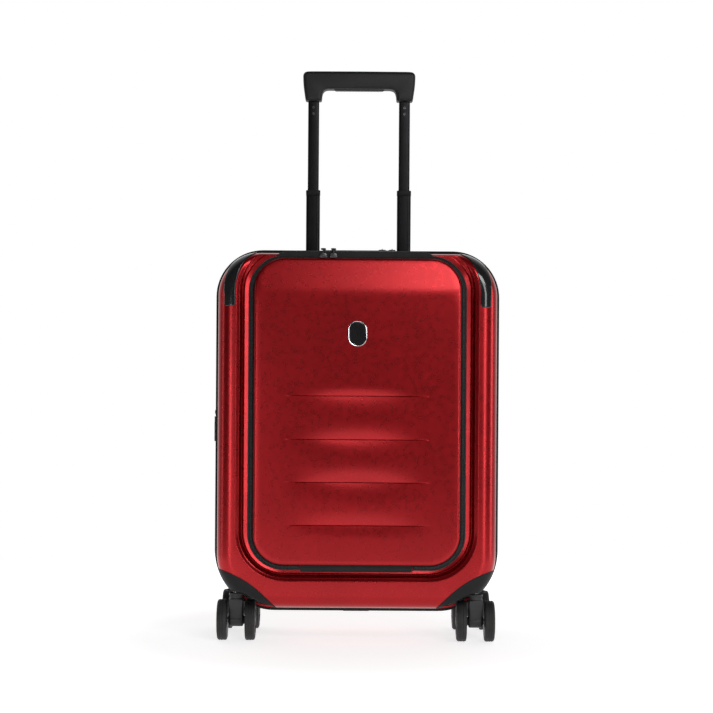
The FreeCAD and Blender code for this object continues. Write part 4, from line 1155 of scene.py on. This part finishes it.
def dial_numbers(node, x, y, z, radius):
    """The digits 0 to 9 around a dial."""
    form = bmesh.new()
    for digit in range(10):
        text = bpy.data.curves.new(f"digit_{digit}", "FONT")
        text.body = str(digit)
        text.size, text.extrude = 3.1 * MM, 0.05 * MM
        text.align_x, text.align_y = "CENTER", "CENTER"
        holder = placed("digit_holder", text)
        mesh = evaluated(holder)
        bpy.data.objects.remove(holder)
        mesh.transform(Matrix.Translation(Vector((x, y, z)) * MM) @ Matrix.Rotation(tau * digit / 10, 4, "X")
                       @ Matrix.Translation((0, 0, radius * MM)))
        form.from_mesh(mesh)
    whole = bpy.data.meshes.new(node + "_digits")
    form.to_mesh(whole)
    form.free()
    return placed(node + "_digits", whole)


# --- Trolley handle

def hollow_tube(form, x, wide, deep, low, high, wall, radius):
    """A rounded rectangular tube with softened ends."""
    def ring(less, z):
        half, far, r = wide / 2 - less, deep / 2 - less, max(radius - less, 0.5)
        return [(a, b, z) for a, b in rounded(x - half, x + half, TROLLEY_Y - far, TROLLEY_Y + far, r, r, 6)]
    return form.loft([ring(0.3, low), ring(0, low + 0.3), ring(0, high - 0.3), ring(0.3, high), ring(wall, high),
                      ring(wall, low)], "join")


def trolley():
    """The handle's tubes, the middle and outer ones with two raised lines, screws and collars."""
    tubes = (("trolley_outer_tubes", 24, 17, 1.6, 4), ("trolley_middle_tubes", 20, 13, 1.6, 3.4),
             ("trolley_inner_tubes", 16, 9, 1.4, 2.8))
    for node, wide, deep, wall, radius in tubes:
        low, high = mm_box(node)
        form = Form()
        for x in (-TROLLEY_X, TROLLEY_X):
            hollow_tube(form, x, wide, deep, low.z, high.z, wall, radius)
            front = TROLLEY_Y - deep / 2
            for line in (x - wide / 2 + 4.4, x + wide / 2 - 4.4) if node != "trolley_inner_tubes" else ():
                form.slab((line - 0.5, front - 0.18, low.z + 2), (line + 0.5, front + 0.1, high.z - 2),
                          0.3, 0.15, "z", 1)
        show(form.made(node + "_extrusion"), "tube_aluminium", node, node)
    screws, collars = Form(), Form()
    low, high = mm_box("trolley_collars")
    rows = ((0.0, low.z), (0.3, low.z + 0.4), (0.35, high.z - 1.4), (0.1, high.z - 0.3), (-1.3, high.z),
            (-1.9, high.z - 0.5), (-1.9, low.z))
    for x in (-TROLLEY_X, TROLLEY_X):
        for z in (750, 759):
            screws.turned([(0.4, 1.7), (-0.05, 1.7), (-0.05, 0.9), (0.35, 0.8)], (x, TROLLEY_Y - 4.5, z), "y", 16)
        rings = []
        for more, z in rows:
            wide, deep, r = 10 + more, 6.5 + more, max(3.4 + more, 1)
            rings.append([(a, b, z) for a, b in rounded(x - wide, x + wide, TROLLEY_Y - deep, TROLLEY_Y + deep,
                                                        r, r)])
        collars.loft(rings, "join")
    show(screws.made("tube_screws"), "steel", "trolley_inner_tubes", look="slider_metal")
    show(collars.made("trolley_collar_caps"), "dark_plastic", "trolley_collars", "trolley_collars")


def grip():
    """The grip: chamfered outside, with a channel for the release bar, and the bar's two rods."""
    low, high = mm_box("trolley_grip")
    key_z = mm_box("release_button")[0].z
    half, leg, under = high.x, 54.4, 785
    right = [(half - 3.8, low.z), (half - 0.6, low.z + 22), (half, high.z - 5), (half - 3.2, high.z - 1),
             (half - 9, high.z - 0.2)]
    inner = [(leg, low.z), (leg - 1.2, under - 4.5), (leg - 6, under)]
    corners = [inner[0], *right, (0, high.z), *[(-x, z) for x, z in right[::-1] + inner], (0, under),
               *inner[:0:-1]]
    radii = [2, 2.5, 8, 4, 4, 7, 8, 7, 4, 4, 8, 2.5, 2, 7, 6, 8, 6, 7]
    body = Form().moulded(corners, radii, low.y, high.y, 5.0, "y", 7)
    mouth = hole((-36.5, TROLLEY_Y - 7.6, under - 4), (36.5, TROLLEY_Y + 7.6, under + 9), 3)
    show(carved(body.made("grip_body"), mouth), "grip_black", "trolley_grip", "trolley_grip", sharp=50)
    key = Form().slab((-35.5, TROLLEY_Y - 6.8, key_z), (35.5, TROLLEY_Y + 6.8, key_z + 5.5), 3, 1.2, "z", 4)
    for x in [i * 4.4 for i in range(-6, 7)]:
        key.slab((x - 0.7, TROLLEY_Y - 5, key_z - 0.25), (x + 0.7, TROLLEY_Y + 5, key_z + 0.6), 0.6, 0.24, "z")
    show(key.made("release_key"), "grip_black", "release_button", "release_button")
    low, high = mm_box("release_rods")
    rods, long = Form(), high.z - low.z
    for x in (-TROLLEY_X, TROLLEY_X):
        rods.turned([(0, 0.6), (0.8, 1.6), (long - 0.8, 1.6), (long, 0.6)], (x, TROLLEY_Y, low.z), "z", 16)
    show(rods.made("release_rod_pair"), "steel", "release_rods", "release_rods")


# --- Carry handles and wells

def carry_handle(node, along):
    """A padded strap handle: a soft bar, swollen in its middle, with moulded ribs and two end guides."""
    low, high = mm_box(node)
    upright = along == "z"
    start, end, level, outward = (low.z, high.z, low.x + 3, -1) if upright else (low.x, high.x, high.z - 3, 1)
    across = (low.y + high.y) / 2

    def place(s, a, b):
        return (b, a, s) if upright else (s, a, b)

    def block(s0, s1, half, b0, b1, corner, edge):
        form.slab(place(s0, across - half, min(b0, b1)), place(s1, across + half, max(b0, b1)), corner, edge,
                  "x" if upright else "z")

    def squared(share):
        return copysign(abs(share) ** 0.6, share)

    steps, sides = 40, 20
    rings = []
    for i in range(steps + 1):
        swell = sin(pi * i / steps) ** 0.5 if 0 < i < steps else 0
        wide, thick = 4.4 + 1.5 * swell, 1.9 + 1.05 * swell
        rings.append([place(start + (end - start) * i / steps, across + wide * squared(cos(turn)),
                            level + thick * squared(sin(turn)))
                      for turn in [tau * k / sides for k in range(sides)]])
    form = Form().loft(rings)
    for s in [(start + end) / 2 + i * 5 for i in range(-7, 8)]:
        block(s - 0.9, s + 0.9, 4.2, level + outward * 2.5, level + outward * 3.15, 0.8, 0.3)
    for s in (start + 1, end - 9):
        block(s, s + 8, 5, level - outward * 16, level, 1.5, 0.8)
    show(form.made(node + "_strap"), "grip_black", node, node, sharp=50)


def well(node, axis):
    """A moulded trough with a rounded floor and a lip that lies on the shell."""
    wall, lip = 2.0, 1.6
    low, high = mm_box(node)
    a, b, c = (0, 1, 2) if axis == "z" else (1, 2, 0)
    floor, brim, up = (low[c], high[c], 1) if axis == "z" else (high[c], low[c], -1)
    rows = [(3, floor), (0.9, floor + up * 0.9), (0, floor + up * 3), (0, brim - up * 1.6),
            (-lip, brim - up * 1.3), (-lip - 0.1, brim - up * 0.5), (-lip + 0.5, brim), (wall - 0.6, brim),
            (wall, brim - up * 0.6), (wall, floor + up * (wall + 3)), (wall + 1, floor + up * (wall + 0.9)),
            (wall + 3, floor + up * wall)]
    rings = []
    for less, level in rows:
        r = max(5 - less, 1.2)
        rings.append([PLACES[axis](p, q, level) for p, q in
                      rounded(low[a] + less, high[a] - less, low[b] + less, high[b] - less, r, r)])
    trough = Form().loft(rings).made(node + "_trough")
    if node == "grip_well":
        carved(trough, *[hole((x - 10.6, TROLLEY_Y - 7.1, low.z - 5), (x + 10.6, TROLLEY_Y + 7.1, low.z + 12), 3.6)
                         for x in (-TROLLEY_X, TROLLEY_X)])
    show(trough, "dark_plastic", node, node)


# --- Casters

def wheel_form(side):
    """One wheel about the X axis, its outer face towards side: hub, then tyre."""
    hub = Form().turned([(15, 0.0), (15, 5), (14.6, 6.6), (12.6, 7.4), (12.2, 8.4), (12.2, 17.6), (12.9, 18.6),
                         (14.3, 19.3), (14.6, 20.2), (14.2, 21.3), (0.5, 21.3), (0.2, 20), (0.2, 2.7), (13, 2.7),
                         (13, 0.0)], (0, 0, 0), "x", 48, None)
    spoke = Form().slab((11.9, -1.6, 6.8), (13.9, 1.6, 19.0), 0.7, 0.6, "x")
    for k in range(6):
        hub.join(spoke.changed(Matrix.Rotation(tau * k / 6, 4, "X")))
    tyre = Form().turned([(0.6, 21.2), (0.4, 26.0), (1.1, 27.7), (2.6, 28.4), (5.2, 28.5), (5.5, 28.0),
                          (6.3, 28.0), (6.6, 28.5), (8.8, 28.5), (9.1, 28.0), (9.9, 28.0), (10.2, 28.5),
                          (11.6, 28.3), (13.2, 27.4), (14.1, 25.8), (14.4, 23.6), (14.3, 21.2)],
                         (0, 0, 0), "x", 64, "join")
    return (hub, tyre) if side > 0 else (hub.changed(mirror("x")), tyre.changed(mirror("x")))


def caster(corner):
    """One caster: two wheels, their fork with its collar and axle tube, the swivel pin and the axle."""
    a_low, a_high = mm_box(f"wheel_{corner}_a")
    b_low, b_high = mm_box(f"wheel_{corner}_b")
    axle = Vector(((a_low.x + b_high.x) / 2, (a_low.y + a_high.y) / 2, (a_low.z + a_high.z) / 2))
    for part, side, near in (("a", -1, a_high.x), ("b", 1, b_low.x)):
        place = Matrix.Translation((near, axle.y, axle.z))
        hub, tyre = wheel_form(side)
        node = f"wheel_{corner}_{part}"
        show(hub.changed(place).made(node + "_hub"), "tyre_grey", node, node, look="hub_grey")
        show(tyre.changed(place).made(node + "_tyre"), "tyre_grey", node)
    node = f"caster_fork_{corner}"
    x, swivel_y = axle.x, mm_box(node)[0].y + SWIVEL
    side_view = [(swivel_y - 9.6, 58.6), (swivel_y - 9.6, 50), (swivel_y - 4.5, 41), (axle.y - 8.4, 30.5)]
    side_view += [(axle.y + 9.4 * cos(radians(t)), axle.z + 9.4 * sin(radians(t)))
                  for t in range(185, 366, 15)]
    side_view += [(axle.y + 9.2, 36), (axle.y + 6.0, 47), (axle.y + 3.5, 54), (axle.y - 1.5, 58.6)]
    yoke = Form().pebble(side_view, x - 9.6, x + 9.6, 2.2, "x", 4)
    yoke.turned([(57.5, 9.9), (59.5, 9.9), (60.2, 9.0), (64.2, 9.0), (65, 9.8), (67.2, 9.8), (67.9, 9.0)],
                (x, swivel_y, 0), "z", 36)
    yoke.turned([(-11.6, 5.2), (-10.2, 6.4), (-8, 6.4), (8, 6.4), (10.2, 6.4), (11.6, 5.2)], axle, "x", 28)
    show(yoke.made(node + "_yoke"), "dark_plastic", node, node, look="hub_grey", sharp=45)
    pins = Form().turned([(66, 4), (83, 4), (84, 3.2)], (x, swivel_y, 0), "z", 24)
    reach = (b_high.x - a_low.x) / 2 - 2.4
    pins.turned([(-reach, 2.4), (reach, 2.4)], axle, "x", 20)
    show(pins.made(node + "_pins"), "steel", node)


# --- Linings and the front pocket

def quilt(a, b, pitch, height):
    """Puff of a quilted surface: diamonds between sewn lines."""
    u, v = (a + b) / pitch, (a - b) / pitch
    return height * (abs(sin(pi * u)) * abs(sin(pi * v))) ** 0.45


def crumple(x, z, height):
    """Shallow folds of loose lining cloth."""
    long = sin(x / 27 + 1.7 * sin(z / 41)) * sin(z / 35 + cos(x / 33))
    return height * (0.7 * long + 0.3 * sin((x + z) / 13) * sin((x - 1.3 * z) / 31))


def cloth_floor(shape, inset, level, folds):
    """A flat of lining cloth inside an outline, with folds that fade towards its edge."""
    step = 6
    spots = [(i * step, k * step) for i in range(-30, 31) for k in range(10, 90)]
    spots = [p for p in spots if inside(shape, *p) > inset + 2]
    return meshed([grown(shape, -inset)], spots, lambda x, z: inside(shape, x, z) >= inset - TINY,
                  lambda x, z: level - crumple(x, z, folds) * min(1, max(0, (inside(shape, x, z) - inset) / 22)))


def panel_pad():
    """Quilted pad on the back of the panel."""
    low, high = mm_box("panel_lining")
    shape = {"half": high.x, "low": low.z, "high": high.z, "r_low": 36, "r_high": 36}
    step = 3.5
    spots = [(low.x + i * step, low.z + k * step) for i in range(1, int((high.x - low.x) / step))
             for k in range(1, int((high.z - low.z) / step))]
    spots = [p for p in spots if inside(shape, *p) > 3]

    def within(x, z):
        return inside(shape, x, z) >= -TINY

    def level(x, z):
        border = inside(shape, x, z)
        puff = 1.2 * min(max(border, 0) / 5, 1) ** 0.5
        if border > 7:
            puff += quilt(x, z, 34, 0.9) * min((border - 7) / 4, 1)
        return 2.2 - high.y - puff

    pad = meshed([grown(shape, -inset) for inset in (0, 0.6, 1.6, 3, 7)], spots, within, level)
    pad.stacked([(shape, 0, high.y - 2.2), (shape, 0, low.y)])
    pad.join(meshed([grown(shape)], spots[::7], within, lambda x, z: -low.y))
    item = pad.made("panel_lining_quilt")
    show(item, "lining_grey", "panel_lining", "panel_lining")


def front_pocket():
    """The pocket behind the panel: a flange, a bag and a padded sleeve against its back."""
    low, high = mm_box("front_pocket")
    mouth, back = low.y, high.y
    room = {"half": 146, "low": 110, "high": 519, "r_low": 38, "r_high": 38}
    flange = {"half": 150.5, "low": 104, "high": high.z, "r_low": 50, "r_high": 46}
    form = Form().stacked([(room, -9, back - 2), (room, -5, back - 2.6), (room, -2.8, back - 5),
                           (room, -2, -60), (room, -2, mouth + 2), (room, -2, mouth), (flange, 0, mouth),
                           (flange, 0, mouth + 1.5), (room, 0, mouth + 2), (room, 0, -60),
                           (room, -0.6, back - 5), (room, -2.5, back - 1.2), (room, -8, back - 0.2)])
    form.join(cloth_floor(room, 9, 2 - back, 0.5), cloth_floor(room, 8, 0.2 - back, 0.15))
    for x in (-98, 0, 98):
        form.slab((x - 0.9, -78, 112), (x + 0.9, back - 1, 118), 0.5, 0.4, "z")
    show(form.made("front_pocket_bag"), "lining_grey", "front_pocket", "front_pocket")
    sleeve = Form().slab((-120, back - 7, 113), (120, back - 4.6, 360), 10, 1.1, "y")
    sleeve.slab((-121, back - 8.2, 350), (121, back - 4.0, 362), 3, 1.4, "y")
    show(sleeve.made("pocket_sleeve"), "black_fabric", "front_pocket")


def lining_tray(name, node, shape, floor, sign, *replaced):
    """Lining of a half: a flat border from the shell's wall, a soft mouth with piping, walls and a floor."""
    mouth, cloth, edge = RIM + 1.2, 0.6, -7.2
    rows = [(CASE, edge, mouth), (shape, 3, mouth), (shape, 1, mouth + 0.4), (shape, 0, mouth + 2),
            (shape, -0.6, floor - 6), (shape, -1.6, floor - 2.6), (shape, -3.6, floor - 0.8), (shape, -7, floor)]
    back = [(CASE, edge, mouth + cloth), (shape, 3, mouth + cloth), (shape, 1.5, mouth + 1),
            (shape, cloth, mouth + 2.4), (shape, 0, floor - 5.8), (shape, -1.1, floor - 2.1),
            (shape, -3.3, floor - 0.3), (shape, -7, floor + cloth)]
    form = Form()
    for layer in (rows, back):
        form.stacked([(part, more, -y) for part, more, y in layer])
        form.join(cloth_floor(shape, 7, layer[-1][2], 1.6))
    form.stacked([(CASE, edge, -y) for y in (mouth, mouth + cloth)])
    piping = swept(shape, [(1.6 + 1.3 * cos(turn), 0.3 - mouth + sin(turn))
                           for turn in [tau * k / 8 for k in range(8)]])
    if sign > 0:
        form, piping = (part.changed(mirror("y")) for part in (form, piping))
    show(form.made(name), "lining_grey", node, *replaced)
    show(piping.made(name + "_piping"), "black_fabric", node)


def linings():
    """The panel's pad, the pocket and a lining tray in each half."""
    panel_pad()
    front_pocket()
    low, high = mm_box("rear_lining")
    corners = {"r_low": 54, "r_high": 36}
    lining_tray("rear_lining_tray", "rear_lining", {"half": high.x, "low": low.z, "high": high.z, **corners},
                high.y - 2.4, 1, "rear_lining")
    lining_tray("front_lining_tray", "front_pocket", {"half": 160, "low": 80, "high": 514, **corners}, 34.8, -1)


def panel_gussets():
    """Side gussets of the front panel: cloth that fans out as the panel opens, drawn here as flat sheets at rest.
    """
    start, end = 2.2 - RECESS_FLOOR, WALL + 8.2 - PANEL_FACE
    layers, rows, low, high = 14, 18, 122, 300
    for side, hand in ((-1, "left"), (1, "right")):
        grid = [[(137.2 * side, start + (end - start) * k / layers,
                  low + (high - low) * i / rows) for i in range(rows + 1)] for k in range(layers + 1)]
        form = Form().loft(grid, None, around=False)
        form.loft([[(x + 0.5 * side, y, z) for x, y, z in row] for row in grid], None, around=False)
        for edge in ([row[0] for row in grid], [row[-1] for row in grid], grid[0], grid[-1]):
            form.loft([edge, [(x + 0.5 * side, y, z) for x, y, z in edge]], None, around=False)
        item = form.made(f"panel_gusset_{hand}")
        dress(item, "black_fabric")
        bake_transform(item)


# --- Camera, lights and floor

def softbox(name, place, target, wide, high, power):
    """An area light of a size in metres and a power in watts, aimed at a target."""
    light = bpy.data.lights.new(name, "AREA")
    light.shape = "RECTANGLE"
    light.size, light.size_y, light.energy = wide, high, power
    item = placed(name, light)
    item.location = place
    item.rotation_euler = (Vector(target) - item.location).to_track_quat("-Z", "Y").to_euler()


def studio():
    """The camera, five soft boxes, a world that is bright behind the camera's view, and the floor."""
    camera = bpy.data.cameras.new("camera")
    camera.lens, camera.sensor_width = 100, 36
    item = placed("camera", camera)
    item.location = (-0.0014, -2.82, 0.3975)
    item.rotation_euler = (Matrix.Rotation(radians(90), 3, "X")
                           @ Matrix.Rotation(radians(0.38), 3, "Z")).to_euler()
    bpy.context.scene.camera = item
    for light in (("top_front", (0.85, -2.2, 1.27), (0, -0.1, 0.35), 1.5, 0.5, 19),
                  ("key_right", (1.1, -2.15, 0.45), (0, -0.05, 0.3), 0.45, 1.1, 8),
                  ("fill_left", (-0.85, -2.25, 0.2), (0, 0, 0.2), 0.55, 0.5, 5),
                  ("edge_left", (-2.4, -0.4, 0.5), (0, -0.05, 0.35), 0.3, 1.3, 3),
                  ("edge_right", (2.4, -0.4, 0.5), (0, -0.05, 0.35), 0.5, 1.3, 9)):
        softbox(*light)
    world = bpy.data.worlds.new("studio")
    world.use_nodes = True
    bpy.context.scene.world = world
    nodes = Nodes(world.node_tree)
    back = nodes.tree.nodes["Background"]
    back.inputs["Color"].default_value = (1, 1, 1, 1)
    axes = nodes.add("SeparateXYZ", {"Vector": nodes.add("TexCoord").outputs["Generated"]})
    behind = nodes.ranged(axes.outputs["Y"], 0.035, 0.95, -0.1, 0.9)
    strength = nodes.sums("MAXIMUM", behind, nodes.add("LightPath").outputs["Is Camera Ray"])
    nodes.tree.links.new(strength, back.inputs["Strength"])
    bpy.context.scene.view_settings.view_transform = "Standard"
    look = Look("studio_floor", Roughness=0.9, Specular_IOR_Level=0.2)
    look.colour(look.noise(400, 2), (0.3, (0.6, 0.6, 0.6)), (0.7, (0.64, 0.64, 0.64)))
    # The floor glows: painted light from its own emission, dimmer under the case and brighter farther out, where it
    # reads pure white.
    look.shader.inputs["Emission Color"].default_value = (1, 1, 1, 1)
    far = look.add("VectorMath", {0: look.place}, operation="LENGTH").outputs["Value"]
    look.tree.links.new(look.ranged(far, 0.72, 1.1, 0.3, 0.7), look.shader.inputs["Emission Strength"])
    floor = Form().turned([(-20, 1200), (0, 1200)], (0, 0, 0), "z", 96).made("floor")
    floor.data.materials.append(look.material)


studio()
shells()
wheel_housings()
corner_guards()
case_zippers()
band()
expansion_gusset()
panel_zipper()
panel_flap()
panel_hinge()
sliders()
badge()
lock()
trolley()
grip()
carry_handle("top_handle", "x")
carry_handle("side_handle", "z")
for trough, way in (("grip_well", "z"), ("top_handle_well", "z"), ("side_handle_well", "x")):
    well(trough, way)
for place in ("front_left", "front_right", "rear_left", "rear_right"):
    caster(place)
linings()
panel_gussets()
